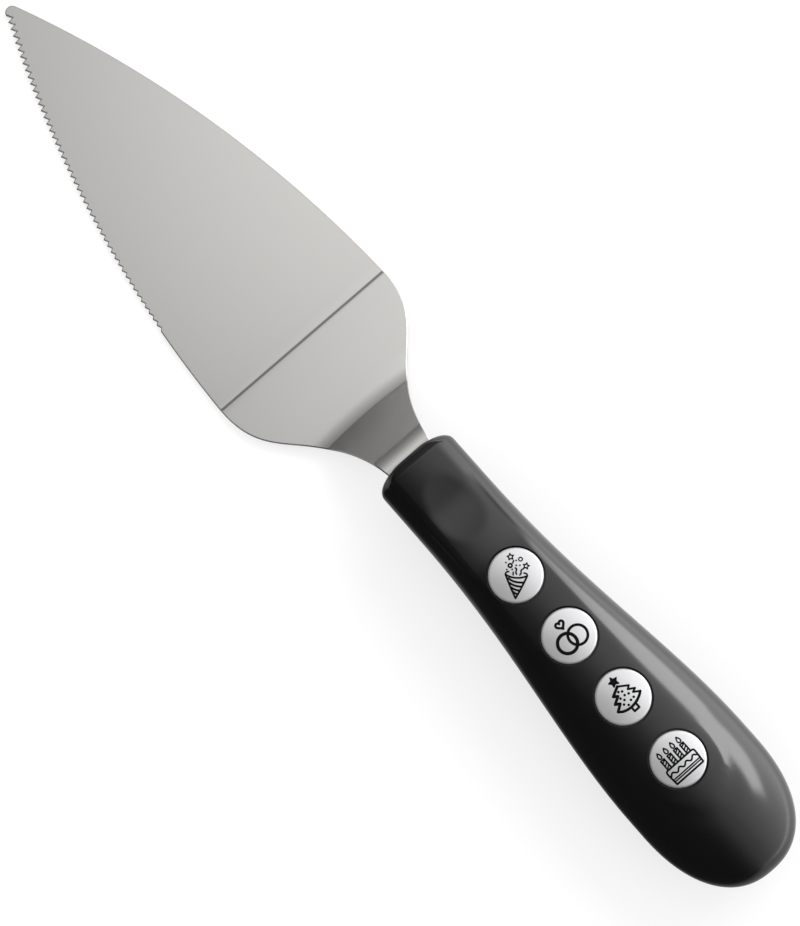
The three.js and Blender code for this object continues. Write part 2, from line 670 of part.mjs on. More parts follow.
// Head down, point up, with the underside of the head at Z = 0
function screw({ head, headHeight, shank, length }) {
  return turned(
    [
      [0, -headHeight],
      [(SCREW_FACE * head) / 2, -headHeight],
      [head / 2, -headHeight / 2],
      [head / 2, 0],
      [shank / 2, 0],
      [shank / 2, length - shank / 2],
      [0, length],
    ],
    12,
  );
}

// Buttons

function buttonCap() {
  const radius = CAP_DIAMETER / 2;
  const rim = radius - CAP_ROUND;
  const crownAt = (r) => capEdge + CAP_CROWN * (1 - (r / rim) ** 2);
  return turned(
    [
      [0, stemBottom],
      [STEM_DIAMETER / 2, stemBottom],
      [STEM_DIAMETER / 2, flangeBottom],
      [radius + FLANGE_LIP, flangeBottom],
      [radius + FLANGE_LIP, flangeTop],
      [radius, flangeTop],
      [radius, capEdge - CAP_ROUND],
      [rim, capEdge],
      [rim / 2, crownAt(rim / 2)],
      [0, crownAt(0)],
    ],
    24,
  );
}

function switchDome() {
  const foot = DOME_DIAMETER / 2;
  const crown = STEM_DIAMETER / 2 + FIT;
  const ceiling = domeTop - DOME_TOP;
  return turned(
    [
      [0, ceiling],
      [PILL_DIAMETER / 2 + SEAT, ceiling],
      [foot - DOME_SKIRT, boardTop + DOME_SKIRT],
      [foot - DOME_SKIRT, boardTop],
      [foot, boardTop],
      [foot, boardTop + DOME_SKIRT],
      [crown, domeTop],
      [0, domeTop],
    ],
    12,
  );
}

function contactPill() {
  const high = domeTop - DOME_TOP - SEAT;
  return rod(PILL_DIAMETER, high - PILL_HEIGHT, high, 0, 0, 12);
}

// Board and what it carries underneath

function circuitBoard() {
  const half = BOARD_WIDTH / 2;
  const shape = roundedRectangle(-boardRear, -boardFront, -half, half, BOARD_CORNER);
  for (const { t, y } of boardScrews) {
    shape.holes.push(new THREE.Path().absarc(-t, y, shankBore(BOARD_SCREW) / 2, 0, 2 * Math.PI, true));
  }
  return prism(shape, boardBottom, boardTop);
}

function melodyChip() {
  const radius = CHIP_DIAMETER / 2;
  const blob = [90, 60, 30, 0].map((angle) => [
    angle === 90 ? 0 : radius * Math.cos(rad(angle)),
    -CHIP_HEIGHT * Math.sin(rad(angle)),
  ]);
  return turned([...blob, [0, 0]], 16);
}

function driveTransistor() {
  const radius = TRANSISTOR_SIZE / 2;
  const shape = new THREE.Shape().absarc(0, 0, radius, rad(-TRANSISTOR_FLAT), rad(180 + TRANSISTOR_FLAT));
  return prism(shape, -TRANSISTOR_SIZE, 0);
}

function timingResistor() {
  const radius = RESISTOR_DIAMETER / 2;
  const half = RESISTOR_LENGTH / 2;
  const end = half - radius;
  return turned(
    [
      [0, -half],
      [radius, -half + radius / 2],
      [RESISTOR_WAIST / 2, -end],
      [RESISTOR_WAIST / 2, end],
      [radius, half - radius / 2],
      [0, half],
    ],
    12,
  ).rotateX(Math.PI / 2);
}

// Battery cells, positive face forwards, and their contacts

function batteryCell() {
  const radius = CELL_DIAMETER / 2;
  return turned(
    [
      [0, 0],
      [CELL_BUTTON / 2, 0],
      [CELL_BUTTON / 2, CELL_STEP],
      [radius - CELL_STEP / 2, CELL_STEP],
      [radius, 2 * CELL_STEP],
      [radius, CELL_HEIGHT - CELL_STEP],
      [radius - CELL_STEP, CELL_HEIGHT],
      [0, CELL_HEIGHT],
    ],
    18,
  ).rotateY(Math.PI / 2);
}

function contactStrip(path) {
  const side = path.map(([t, z]) => vec(-t, z));
  return drawnAcross(strip(side, -CONTACT / 2, CONTACT / 2), CONTACT_WIDTH);
}

function plusContact() {
  const plate = trayFront + SEAT + CONTACT / 2;
  const tabEnd = trayFront - TRAY_WALL - TAB_REACH;
  return contactStrip([
    [plate, cellAxis - CONTACT_REACH],
    [plate, contactTab],
    [tabEnd, contactTab],
  ]);
}

function minusContact() {
  const plate = trayRear - SEAT - CONTACT / 2;
  const tabEnd = trayRear + TRAY_WALL + TAB_REACH;
  const foot = cellAxis - CONTACT_REACH;
  return contactStrip([
    [tabEnd, contactTab],
    [plate, contactTab],
    [plate, foot + LEAF_BOW / 3],
    [plate - LEAF_BOW / 3, foot],
    [plate - (2 * LEAF_BOW) / 3, foot + LEAF_BOW / 3],
    [plate - LEAF_BOW, cellAxis],
    [plate - LEAF_BOW / 2, cellAxis + CONTACT_REACH / 2],
  ]);
}

// Speaker, facing down

function speakerFrame() {
  const radius = SPEAKER_DIAMETER / 2;
  const inner = radius - SPEAKER_RIM;
  const top = BASKET_TOP / 2;
  return turned([
    [0, SPEAKER_HEIGHT - BASKET_WALL],
    [top - BASKET_WALL, SPEAKER_HEIGHT - BASKET_WALL],
    [inner, SPEAKER_RIM_HEIGHT - BASKET_WALL / 2],
    [inner, 0],
    [radius, 0],
    [radius, SPEAKER_RIM_HEIGHT],
    [top, SPEAKER_HEIGHT],
    [0, SPEAKER_HEIGHT],
  ]);
}

function speakerCone() {
  const outer = SPEAKER_DIAMETER / 2 - SPEAKER_RIM - FIT;
  const cap = DUST_CAP / 2;
  const throat = SPEAKER_HEIGHT / 2 - CONE_SHEET;
  return turned([
    [0, throat - DUST_CAP_CROWN],
    [cap, throat],
    [outer, SEAT],
    [outer, SEAT + CONE_SHEET],
    [cap, throat + CONE_SHEET],
    [0, throat - DUST_CAP_CROWN + CONE_SHEET],
  ]);
}

function speakerGasket() {
  const radius = SPEAKER_DIAMETER / 2;
  const inner = radius - SPEAKER_RIM;
  return turned([
    [inner, 0],
    [radius, 0],
    [radius, GASKET - SEAT],
    [inner, GASKET - SEAT],
    [inner, 0],
  ]);
}

// Wire through [t, y, z] points
function wire(points) {
  const path = new THREE.CatmullRomCurve3(points.map(([t, y, z]) => new THREE.Vector3(-t, y, z)));
  const shape = new THREE.Shape().absarc(0, 0, WIRE / 2, 0, 2 * Math.PI);
  const options = { steps: 8, curveSegments: 4, bevelEnabled: false, extrudePath: path };
  return new THREE.ExtrudeGeometry(shape, options);
}

// From a contact's tab, along the handle and up to the underside of the board
function batteryWire(tabEnd, away) {
  const start = tabEnd + away * FIT;
  const bend = WIRE * 2;
  return wire([
    [start, 0, contactTab],
    [start + away * bend, 0, contactTab],
    [start + away * 2 * bend, 0, boardBottom - bend],
    [start + away * 2 * bend, 0, boardBottom - FIT],
  ]);
}

// From the edge of the speaker's back up to the underside of the board
function speakerWire(side) {
  const y = (side * WIRE_SPACING) / 2;
  const rim = (BASKET_TOP + MAGNET_DIAMETER) / 4;
  const start = speakerAt - Math.sqrt(rim ** 2 - y ** 2);
  const middle = (basketTop + boardBottom) / 2;
  return wire([
    [start, y, basketTop + FIT],
    [start - WIRE / 2, y, middle],
    [start - WIRE, y, boardBottom - FIT],
  ]);
}

// Assembly: the knife's frame has its tip at X = 0, and the handle's its front end on the parting plane
const knife = new THREE.Group();
const fromTip = new THREE.Group();
const handle = new THREE.Group();
fromTip.position.x = overallLength / 2;
handle.position.set(-handleFront, 0, partingHeight);
fromTip.add(handle);
knife.add(fromTip);

function place(group, name, geometry, material, x = 0, y = 0, z = 0) {
  const mesh = new THREE.Mesh(geometry, material);
  mesh.name = name;
  mesh.position.set(x, y, z);
  group.add(mesh);
}

place(fromTip, "blade", blade(), STEEL);
place(handle, "handle_top_shell", topShell(), BLACK_PLASTIC);
place(handle, "handle_bottom_shell", bottomShell(), BLACK_PLASTIC);
for (const [k, name] of BUTTONS.entries()) {
  place(handle, `${name}_button`, buttonCap(), SILVER_PLASTIC, -buttonAt[k]);
  place(handle, `${name}_dome`, switchDome(), SILICONE, -buttonAt[k]);
  place(handle, `${name}_pill`, contactPill(), CARBON, -buttonAt[k]);
}

place(handle, "circuit_board", circuitBoard(), BOARD_GREEN);
const underBoard = boardBottom - SEAT;
const partsBehind = lastButton - CHIP_OFFSET;
place(handle, "melody_chip", melodyChip(), EPOXY, -buttonAt[0] - CHIP_OFFSET, 0, underBoard);
const aside = BOARD_WIDTH / 4;
place(handle, "drive_transistor", driveTransistor(), EPOXY, -partsBehind, aside, underBoard);
const resistorHeight = underBoard - RESISTOR_DIAMETER / 2;
place(handle, "timing_resistor", timingResistor(), BLUE_CERAMIC, -partsBehind, -aside, resistorHeight);

for (let k = 0; k < CELL_COUNT; k += 1) {
  const rearFace = trayFront + plusSpace + k * cellPitch + CELL_HEIGHT;
  place(handle, `battery_cell_${k + 1}`, batteryCell(), CELL_STEEL, -rearFace, 0, cellAxis);
}
place(handle, "battery_contact_plus", plusContact(), SPRING_STEEL);
place(handle, "battery_contact_minus", minusContact(), SPRING_STEEL);
place(handle, "battery_door", batteryDoor(), BLACK_PLASTIC);
const doorScrewHeight = doorScrewSeat - SEAT;
place(handle, "battery_door_screw", screw(DOOR_SCREW), SCREW_STEEL, -doorScrewAt, 0, doorScrewHeight);

place(handle, "speaker_gasket", speakerGasket(), FOAM, -speakerAt, 0, gasketBottom);
place(handle, "speaker_frame", speakerFrame(), MAGNET_STEEL, -speakerAt, 0, speakerBottom);
place(handle, "speaker_cone", speakerCone(), PAPER_CONE, -speakerAt, 0, speakerBottom);
const magnet = rod(MAGNET_DIAMETER, SEAT, SEAT + MAGNET_HEIGHT);
place(handle, "speaker_magnet", magnet, MAGNET_STEEL, -speakerAt, 0, basketTop);

for (const [k, { t, y, seat }] of shellScrews.entries()) {
  place(handle, `shell_screw_${k + 1}`, screw(SHELL_SCREW), SCREW_STEEL, -t, y, seat - SEAT);
}
for (const [k, { t, y }] of boardScrews.entries()) {
  place(handle, `board_screw_${k + 1}`, screw(BOARD_SCREW), SCREW_STEEL, -t, y, underBoard);
}

const tabReach = TRAY_WALL + TAB_REACH;
place(handle, "battery_wire_red", batteryWire(trayFront - tabReach, -1), RED);
place(handle, "battery_wire_black", batteryWire(trayRear + tabReach, 1), BLACK);
place(handle, "speaker_wire_red", speakerWire(1), RED);
place(handle, "speaker_wire_black", speakerWire(-1), BLACK);

export default knife;
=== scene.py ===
# Looks of the musical cake knife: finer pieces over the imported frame, finishes, light and camera.
# Lengths are millimetres until a mesh is made. Along the handle, t runs back from its front end, and
# heights on the handle run from the parting plane between its two shells.
from math import asin, atan2, ceil, copysign, cos, pi, radians, sin, tan

import bmesh
import bpy
import numpy as np
from mathutils import Matrix, Vector
from mathutils.bvhtree import BVHTree
from mathutils.geometry import delaunay_2d_cdt


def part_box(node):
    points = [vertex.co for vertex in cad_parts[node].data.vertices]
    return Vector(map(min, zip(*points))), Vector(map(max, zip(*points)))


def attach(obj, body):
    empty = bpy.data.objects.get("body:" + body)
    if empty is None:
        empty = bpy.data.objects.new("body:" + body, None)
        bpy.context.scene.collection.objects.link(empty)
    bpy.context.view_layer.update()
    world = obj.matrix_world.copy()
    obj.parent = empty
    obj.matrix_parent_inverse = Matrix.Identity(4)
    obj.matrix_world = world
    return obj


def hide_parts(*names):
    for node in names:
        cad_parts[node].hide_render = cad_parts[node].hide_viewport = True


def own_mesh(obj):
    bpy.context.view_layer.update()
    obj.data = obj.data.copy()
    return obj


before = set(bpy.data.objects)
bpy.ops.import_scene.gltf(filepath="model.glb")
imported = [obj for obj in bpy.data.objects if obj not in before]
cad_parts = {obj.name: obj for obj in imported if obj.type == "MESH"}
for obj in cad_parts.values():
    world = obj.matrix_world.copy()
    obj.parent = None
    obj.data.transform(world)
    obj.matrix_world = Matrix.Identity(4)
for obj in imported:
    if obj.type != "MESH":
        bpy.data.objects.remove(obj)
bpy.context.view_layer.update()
MM = 0.001


def span(node):
    low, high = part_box(node)
    return np.array(low) / MM, np.array(high) / MM


def middle(node):
    low, high = span(node)
    return (low + high) / 2


# Blade
SHEET = 1.2
TIP = span("blade")[1][0]
BLADE_HALF = span("blade")[1][1]
BLADE_LENGTH = 120.6
EDGE_ANGLE = 22.5
TIP_RADIUS = 1.8
TOOTH_PITCH = 1.9
TOOTH_DEPTH = 1.45
LAST_TOOTH_DEPTH = 0.6
TOOTH_START = 1.4
NOTCH_SHARE = 0.6
PLAIN_HEEL = 24.4
SHOULDER_FULLNESS = 20.9
NECK_FULLNESS = 27.0
NECK_FLARE = 0.155
CREASE_ANGLE = 5.0
KINK_ANGLE = 20.0
NECK_ANGLE = 39.5
SOFT_BEND_RADIUS = 16.0
KINK_RADIUS = 2.5
UPPER_BEND_RADIUS = 6.0
TANG_WIDTH = 13.0
TANG_LENGTH = 29.0
EXPOSED_TANG = 1.2
BLADE_ROUND = 0.15
GROUND_WIDTH = 2.6
GROUND_RISE = 0.5
EDGE_CHAMFER = 0.32
PLAIN_EDGE = 0.55
CREASE_STEP = 0.33
CREASE_HALF = 0.5
CREASE_FADE = 10.0
KINK_BOW = 0.5
KINK_REACH = 11.0
BOW_IN = (-8, -2)
BOW_OUT = (1, 9)
TANG_HOLES = (10, 23)
TANG_HOLE_RADIUS = 2.6

# Handle form
FRONT = span("handle_top_shell")[1][0]
HANDLE_LENGTH = FRONT - span("handle_top_shell")[0][0]
PARTING = span("blade")[1][2] - SHEET / 2
NECK_END = TIP - FRONT - EXPOSED_TANG
FRONT_HALF = 11.15
BUTT_HALF = 17.5
WAIST_LENGTH = 14.0
SWELL_POWER = 1.2
FRONT_RISE = 9.4
PANEL_RISE = 10.5
FRONT_LIFT = 5.6
REST_SETBACK = 3.0
FRONT_BEVEL = 2.66
NOSE_LENGTH = 3.0
NOSE_INSET = 5.0
SCOOP_LENGTH = 26.0
SCOOP_DEPTH = 1.5
PANEL_MARGIN = 3.0
PANEL_TOP = 11.2
FACET_CROWN = 0.0094
FACET_START = 12.0
FOLD_FRONT = 7.0
FOLD_MIDDLE = 8.2
FOLD_REAR = 8.9
FOLD_ROUND = 0.4
DISH_AT = 16.0
DISH_HALF = 10.0
DISH_FLOOR = 9.17
DISH_RISE = 0.95
DISH_TILT = 0.05
DISH_CROWN = 0.2
DISH_ROUND = 0.12
PANEL_END = 12.2
PANEL_END_HALF = 9.3
PANEL_STEP = 0.2
PANEL_STEP_WIDTH = 0.17
PANEL_STEP_IN = (-5, 3)
PANEL_STEP_OUT = (10, 20)
PANEL_STEP_RISE = (3, 9)
BUTT_ROUND = 25.5
SECTION_POWER = 2.4
END_POWER = 2.3
WALL = 2.2
SEAM = 0.2
SEAM_SHARE = 0.15
FIT = 0.3

# Buttons
BUTTONS = ("popper", "rings", "tree", "cake")
CAP_RADIUS = 6.48
CAP_CROWN = 0.42
CAP_ROUND = 0.5
FLANGE_LIP = 1.02
FLANGE = 1.0
STEM_RADIUS = 2.8
STEM_LENGTH = 2.2
HOLE_GAP = 0.5
HOLE_ROUND = 0.06
WELL_TOP = 9.2
INK = 0.02
INK_SINK = 0.1
POPPER_LEAN = 41.4

# Underside: battery door, tray, screws and sound holes
DOOR_WALL = 1.6
DOOR_CORNER = 2.5
DOOR_LEDGE = 1.5
DOOR_MARGIN = 2.4
DOOR_TOP = -3
DOOR_EDGE_ROUND = 0.25
TRAY_WALL = 1.0
TRAY_TOP = 0.3
CONTACT_GAP = 0.2
SLEEVE_RADIUS = 3.1
SLEEVE_TOP = -8.5
SLEEVE_WALL = 1
SLEEVE_WALL_TOP = -6
BOSS_TOP = -0.5
BOSS_RADIUS = 4.0
REAR_BOSS_RADIUS = 3.2
BORE_ROUND = 0.25
SOUND_HOLE = 1.9
SOUND_HOLE_ROUND = 0.2
SOUND_HOLE_STEP = 3.6
SPEAKER_DEPTH = 10.4

# Studio: places and sizes in metres, and levels of light. Pairs in a list run to a level from a direction's
# lean to the left, from its height (PAST_TIP), or from a place across the table (TABLE)
SURROUND = 0.9
KEY_POWER = 5.0
KEY_PLACE = (0.15, -0.85, 0.75)
KEY_SIZE = (0.9, 0.5)
FLOOR_LIFT = 0.63
FLOOR_PAPER = (0.4, 0.4, 0.4, 1)
FLOOR_HEIGHT = -0.0002
FLOOR_HALF = 3.0
TABLE_HALF = 2.4
HANDLE_TENT = 2.5
BLADE_TENT = 2.6
CLOTH = ((0.35, 0.03), (0.2, 0.075), (0.1, 0.165), (0.0, 0.42), (-0.12, 0.88), (-0.4, 1.42))
CLOTH += ((-0.75, 2.2), (-0.95, 3.1))
PAST_TIP = ((0.0, 0.1), (0.2, 0.16), (0.6, 0.3), (0.8, 0.5), (0.95, 0.88))
AT_TIP = (0.135, 0.25)
BLADE_SURROUND = 0.75
PAST_TIP_ACROSS = ((0.3, 0.1), (0.15, 0.34), (0.02, 1.02), (-0.1, 1.28), (-0.3, 1.87))
STRIP = 7.1
STRIP_FRAME = (-0.36, 0.03, 0.06, 0.56)
STRIP_ACROSS = -0.3
STRIP_LEAN = 0.95
STRIP_REAR = (-0.32, -0.265)
STRIP_FRONT = (0.01, -0.07)
STRIP_LOW = (0.0022, 0.0372)
STRIP_HIGH = (0.52, 0.42)
TABLE = ((0.03, 0.04), (0.0, 0.6), (-0.03, 1.0), (-0.12, 2.7), (-0.4, 3.1))
TABLE_BY_BLADE = 0.5

# Screws as head diameter, head height, shank diameter
SHELL_SCREW = (4.4, 1.6, 2.2)
DOOR_SCREW = (4.0, 1.3, 2.0)
BOARD_SCREW = (3.6, 1.2, 1.8)
THREAD_PITCH = 0.8

# Camera: the point it looks at, its lean in degrees backwards and to the left, its turn about its own axis,
# its distance, its focal length and picture height in pixels, and its sensor's width
TARGET = (-15.802, 2.109, 8.0)
LEAN_BACK = 9.8505
LEAN_LEFT = 2.5393
ROLL = 131.381
CAMERA_REACH = 480
FOCAL = 1956.26
PICTURE = 926
SENSOR = 36

BUTTON_AT = [FRONT - middle(name + "_button")[0] for name in BUTTONS]
LAST_BUTTON = BUTTON_AT[-1]
ROUND_START = HANDLE_LENGTH - BUTT_ROUND
REST_AT = LAST_BUTTON + REST_SETBACK
PANEL_FRONT = BUTTON_AT[0] - CAP_RADIUS - PANEL_MARGIN
BENEATH = -PARTING - 5


def lerp(a, b, share):
    return a + (b - a) * share


def smooth(value, low, high):
    share = np.clip((value - low) / (high - low), 0, 1)
    return share * share * (3 - 2 * share)


def rounded(share, power):
    return np.maximum(0, 1 - np.abs(share) ** power) ** (1 / power)


def unit(vector):
    return vector / np.linalg.norm(vector, axis=-1, keepdims=True)


def around(count):
    return np.linspace(0, 2 * np.pi, count, endpoint=False)


# Meshes

def link(item):
    bpy.context.scene.collection.objects.link(item)
    return item


# A mesh without loose points, its faces turned outwards
def mesh_object(name, points, faces):
    mesh = bpy.data.meshes.new(name)
    mesh.from_pydata((np.asarray(points) * MM).tolist(), [], faces)
    work = bmesh.new()
    work.from_mesh(mesh)
    loose = [vertex for vertex in work.verts if not vertex.link_faces]
    bmesh.ops.delete(work, geom=loose, context="VERTS")
    bmesh.ops.recalc_face_normals(work, faces=work.faces)
    work.to_mesh(mesh)
    work.free()
    return link(bpy.data.objects.new(name, mesh))


def discard(piece):
    mesh = piece.data
    bpy.data.objects.remove(piece)
    bpy.data.meshes.remove(mesh)


def merge(solids):
    points = []
    faces = []
    for solid_points, solid_faces in solids:
        start = sum(len(part) for part in points)
        points.append(np.asarray(solid_points))
        faces.extend(tuple(start + corner for corner in face) for face in solid_faces)
    return np.concatenate(points), faces


# Faces between rings of equal length, whose corners are numbered in order from a start
def skin(start, rings):
    count = len(rings[0])
    faces = []
    for low in range(start, start + count * (len(rings) - 1), count):
        high = low + count
        for corner in range(count):
            following = (corner + 1) % count
            faces.append((low + corner, low + following, high + following, high + corner))
    return faces


# Closed rings skinned in order, with a face over each end
def loft(rings):
    count = len(rings[0])
    last = count * len(rings)
    ends = [tuple(range(count))[::-1], tuple(range(last - count, last))]
    return np.concatenate(rings), skin(0, rings) + ends


# Closed rings skinned in order and drawn to a point at each end
def spindle(low, rings, high):
    count = len(rings[0])
    last = count * len(rings) + 1
    faces = skin(1, rings)
    for corner in range(count):
        following = (corner + 1) % count
        faces.append((0, 1 + following, 1 + corner))
        faces.append((last - count + corner, last - count + following, last))
    return np.vstack((low, *rings, high)), faces


# Corners of a profile drawn as small rounds
def fillet(path, radius, steps=5):
    path = [np.array(point, float) for point in path]
    result = [path[0]]
    for before, corner, after in zip(path, path[1:], path[2:]):
        back = before - corner
        forth = after - corner
        reach = min(radius, 0.45 * np.linalg.norm(back), 0.45 * np.linalg.norm(forth))
        start = corner + unit(back) * reach
        end = corner + unit(forth) * reach
        for share in np.linspace(0, 1, steps):
            pull = lerp(start, corner, share)
            result.append(lerp(pull, lerp(corner, end, share), share))
    result.append(path[-1])
    return result


def circle(u, v, radius, sides=20):
    turn = around(sides)
    return np.column_stack((u + radius * np.cos(turn), v + radius * np.sin(turn)))


def ring_at(x, y, z, radius, sides):
    return np.column_stack((circle(x, y, radius, sides), np.full(sides, z)))


# Solid of revolution about Z through a plan point, from radius and height pairs between two poles
def turned(profile, x, y, sides=96):
    rings = [ring_at(x, y, height, radius, sides) for radius, height in profile[1:-1]]
    return spindle((x, y, profile[0][1]), rings, (x, y, profile[-1][1]))


def laid_along_x(solid, x, y, z):
    points, faces = solid
    return np.column_stack((x + points[:, 2], y + points[:, 1], z - points[:, 0])), faces


def bake(piece):
    bpy.context.view_layer.update()
    graph = bpy.context.evaluated_depsgraph_get()
    mesh = bpy.data.meshes.new_from_object(piece.evaluated_get(graph))
    piece.modifiers.clear()
    bare = piece.data
    piece.data = mesh
    bpy.data.meshes.remove(bare)


def cut(piece, solid, operation="DIFFERENCE"):
    tool = mesh_object("tool", *solid)
    modifier = piece.modifiers.new("cut", "BOOLEAN")
    modifier.object = tool
    modifier.operation = operation
    modifier.solver = "EXACT"
    bake(piece)
    discard(tool)


def solid_cut(solid, tool):
    piece = mesh_object("body", *solid)
    cut(piece, tool)
    points = np.array([tuple(vertex.co) for vertex in piece.data.vertices]) / MM
    faces = [tuple(face.vertices) for face in piece.data.polygons]
    discard(piece)
    return points, faces


def shade(piece, angle=40):
    piece.data.shade_smooth()
    piece.data.set_sharp_from_angle(angle=radians(angle))


# Smooth shading that leaves flat faces flat
def shade_flats(piece):
    shade(piece)
    weighted = piece.modifiers.new("flats", "WEIGHTED_NORMAL")
    weighted.keep_sharp = True


# Shading normals of an uncut form, kept on the parts of its surface that a cut left in place
def shade_like(piece, form):
    shade(piece, 35)
    guide = mesh_object("guide", *form)
    normals = np.array([tuple(vertex.normal) for vertex in guide.data.vertices])
    corners = [tuple(face.vertices) for face in guide.data.polygons]
    places = np.array([tuple(vertex.co) for vertex in guide.data.vertices])
    tree = BVHTree.FromPolygons(places.tolist(), corners)
    found = []
    for vertex in piece.data.vertices:
        _, _, face, distance = tree.find_nearest(vertex.co)
        ring = list(corners[face])
        gaps = np.linalg.norm(places[ring] - np.array(vertex.co), axis=1)
        weights = 1 / (gaps + 1e-7) ** 2
        found.append(unit(weights @ normals[ring]) if distance < 0.01 * MM else None)
    limit = cos(radians(20))
    kept = []
    for face in piece.data.polygons:
        for index in face.vertices:
            normal = found[index]
            near = normal is not None and np.dot(normal, face.normal) > limit
            kept.append(tuple(normal) if near else (0, 0, 0))
    piece.data.normals_split_custom_set(kept)
    discard(guide)


def dress(piece, body, material, slot, *nodes):
    piece.data.materials.clear()
    piece.data.materials.append(material)
    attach(piece, body)
    if nodes:
        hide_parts(*nodes)


# Finishes

def add(tree, kind, inputs=None, **settings):
    made = tree.nodes.new("ShaderNode" + kind)
    for key, value in settings.items():
        setattr(made, key, value)
    for key, value in (inputs or {}).items():
        if isinstance(value, bpy.types.NodeSocket):
            tree.links.new(value, made.inputs[key])
        else:
            made.inputs[key].default_value = value
    return made


def noise(tree, place, scale, detail):
    made = add(tree, "TexNoise", {"Vector": place, "Scale": scale, "Detail": detail})
    return made.outputs["Fac"]


# A finish whose colour and roughness drift a little, with a fine grain; scales are per metre
def finish(name, color, roughness, metallic=0.0, mottle=(60, 0.05), grain=(6000, 0.02), **extra):
    material = bpy.data.materials.new(name)
    material.use_nodes = True
    tree = material.node_tree
    tree.nodes.clear()
    place = add(tree, "TexCoord").outputs["Object"]
    drift = noise(tree, place, mottle[0], 4)
    low = tuple(channel * (1 - mottle[1]) for channel in color) + (1,)
    high = tuple(channel * (1 + mottle[1]) for channel in color) + (1,)
    tint = add(tree, "Mix", {"Factor": drift, 6: low, 7: high}, data_type="RGBA")
    reach = {"Value": drift, "To Min": roughness * 0.92, "To Max": roughness * 1.08}
    rough = add(tree, "MapRange", reach)
    fine = noise(tree, place, grain[0], 2)
    bump = add(tree, "Bump", {"Strength": grain[1], "Distance": 0.0002, "Height": fine})
    settings = {"Metallic": metallic, "Base Color": tint.outputs[2], "Normal": bump.outputs[0]}
    settings["Roughness"] = rough.outputs[0]
    settings.update(extra)
    shader = add(tree, "BsdfPrincipled", settings)
    add(tree, "OutputMaterial", {"Surface": shader.outputs[0]})
    return material


STEEL = finish("blade_steel", (0.62, 0.612, 0.595), 0.25, 1.0, (35, 0.03), (9000, 0.02))
GLOSS = {"IOR": 1.6}
PLASTIC = finish("black_plastic", (0.0042, 0.0042, 0.0044), 0.17, 0.0, (90, 0.1), (7000, 0.02), **GLOSS)
SILVER = finish("silver_caps", (0.665, 0.665, 0.675), 0.3, 0.65, (120, 0.02), (9000, 0.02))
MATT = {"Specular IOR Level": 0.05}
PRINT = finish("black_print", (0.003, 0.003, 0.0032), 0.6, 0.0, (200, 0.1), (9000, 0.02), **MATT)
SILICONE = finish("silicone", (0.7, 0.68, 0.62), 0.55)
CARBON = finish("carbon", (0.02, 0.02, 0.021), 0.8)
BOARD_GREEN = finish("board_green", (0.03, 0.12, 0.045), 0.4)
EPOXY = finish("epoxy", (0.01, 0.01, 0.01), 0.35)
CERAMIC = finish("blue_ceramic", (0.21, 0.38, 0.5), 0.5)
CELL_STEEL = finish("cell_steel", (0.62, 0.62, 0.6), 0.22, 1.0, (80, 0.03))
SPRING_STEEL = finish("spring_steel", (0.66, 0.63, 0.56), 0.28, 1.0)
MAGNET_STEEL = finish("magnet_steel", (0.35, 0.35, 0.36), 0.4, 1.0)
PAPER = finish("paper_cone", (0.03, 0.03, 0.032), 0.85)
FOAM = finish("foam", (0.04, 0.04, 0.042), 0.95, grain=(4000, 0.2))
SCREW_STEEL = finish("screw_steel", (0.5, 0.5, 0.51), 0.3, 1.0)
RED = finish("red_insulation", (0.4, 0.012, 0.012), 0.45)
BLACK = finish("black_insulation", (0.008, 0.008, 0.008), 0.45)


# Blade

def edge_arc():
    angle = radians(EDGE_ANGLE)
    start = np.array((TIP_RADIUS * (1 - sin(angle)), TIP_RADIUS * cos(angle)))
    chord = np.array((BLADE_LENGTH, BLADE_HALF)) - start
    turn = angle - atan2(chord[1], chord[0])
    radius = np.linalg.norm(chord) / (2 * sin(turn))
    centre = start + radius * np.array((sin(angle), -cos(angle)))
    return start[0], centre, radius


def edge_points(centre, radius, from_s, to_s, steps):
    s = np.linspace(from_s, to_s, steps)
    return np.column_stack((s, centre[1] + np.sqrt(radius**2 - (s - centre[0]) ** 2)))


# Teeth are notches square to the edge, shallower towards the heel; with each point goes the way in from it
# to where the grinding of the underside ends
def tooth_points(centre, radius):
    count = int((BLADE_LENGTH - PLAIN_HEEL - TOOTH_START) / TOOTH_PITCH)
    points = []
    inward = []
    for tooth in range(count):
        fade = min(1, tooth / 2, (count - 1 - tooth) / 4)
        depth = lerp(TOOTH_DEPTH, LAST_TOOTH_DEPTH, tooth / count)
        peak = TOOTH_START + tooth * TOOTH_PITCH
        for s, sink in ((peak, 0), (peak + TOOTH_PITCH * NOTCH_SHARE, depth)):
            slope = asin((centre[0] - s) / radius)
            square_in = np.array((sin(slope), -cos(slope)))
            edge = edge_points(centre, radius, s, s, 1)[0]
            points.append(edge + square_in * sink)
            inward.append(square_in * (GROUND_WIDTH - sink) * fade)
    return np.array(points), np.array(inward)


def bezier(corners, steps):
    share = np.linspace(0, 1, steps)[:, None]
    levels = [np.repeat(np.array([corner], float), steps, axis=0) for corner in corners]
    while len(levels) > 1:
        levels = [lerp(a, b, share) for a, b in zip(levels, levels[1:])]
    return levels[0]


def shoulder_points():
    entry = np.array((NECK_END + EXPOSED_TANG, TANG_WIDTH / 2))
    heel_pull = (BLADE_LENGTH + SHOULDER_FULLNESS, BLADE_HALF)
    entry_pull = entry + np.array((-NECK_FULLNESS, NECK_FULLNESS * NECK_FLARE))
    curve = bezier(((BLADE_LENGTH, BLADE_HALF), heel_pull, entry_pull, entry), 60)
    end = (NECK_END + EXPOSED_TANG + TANG_LENGTH, TANG_WIDTH / 2)
    return np.vstack((curve[1:], end))


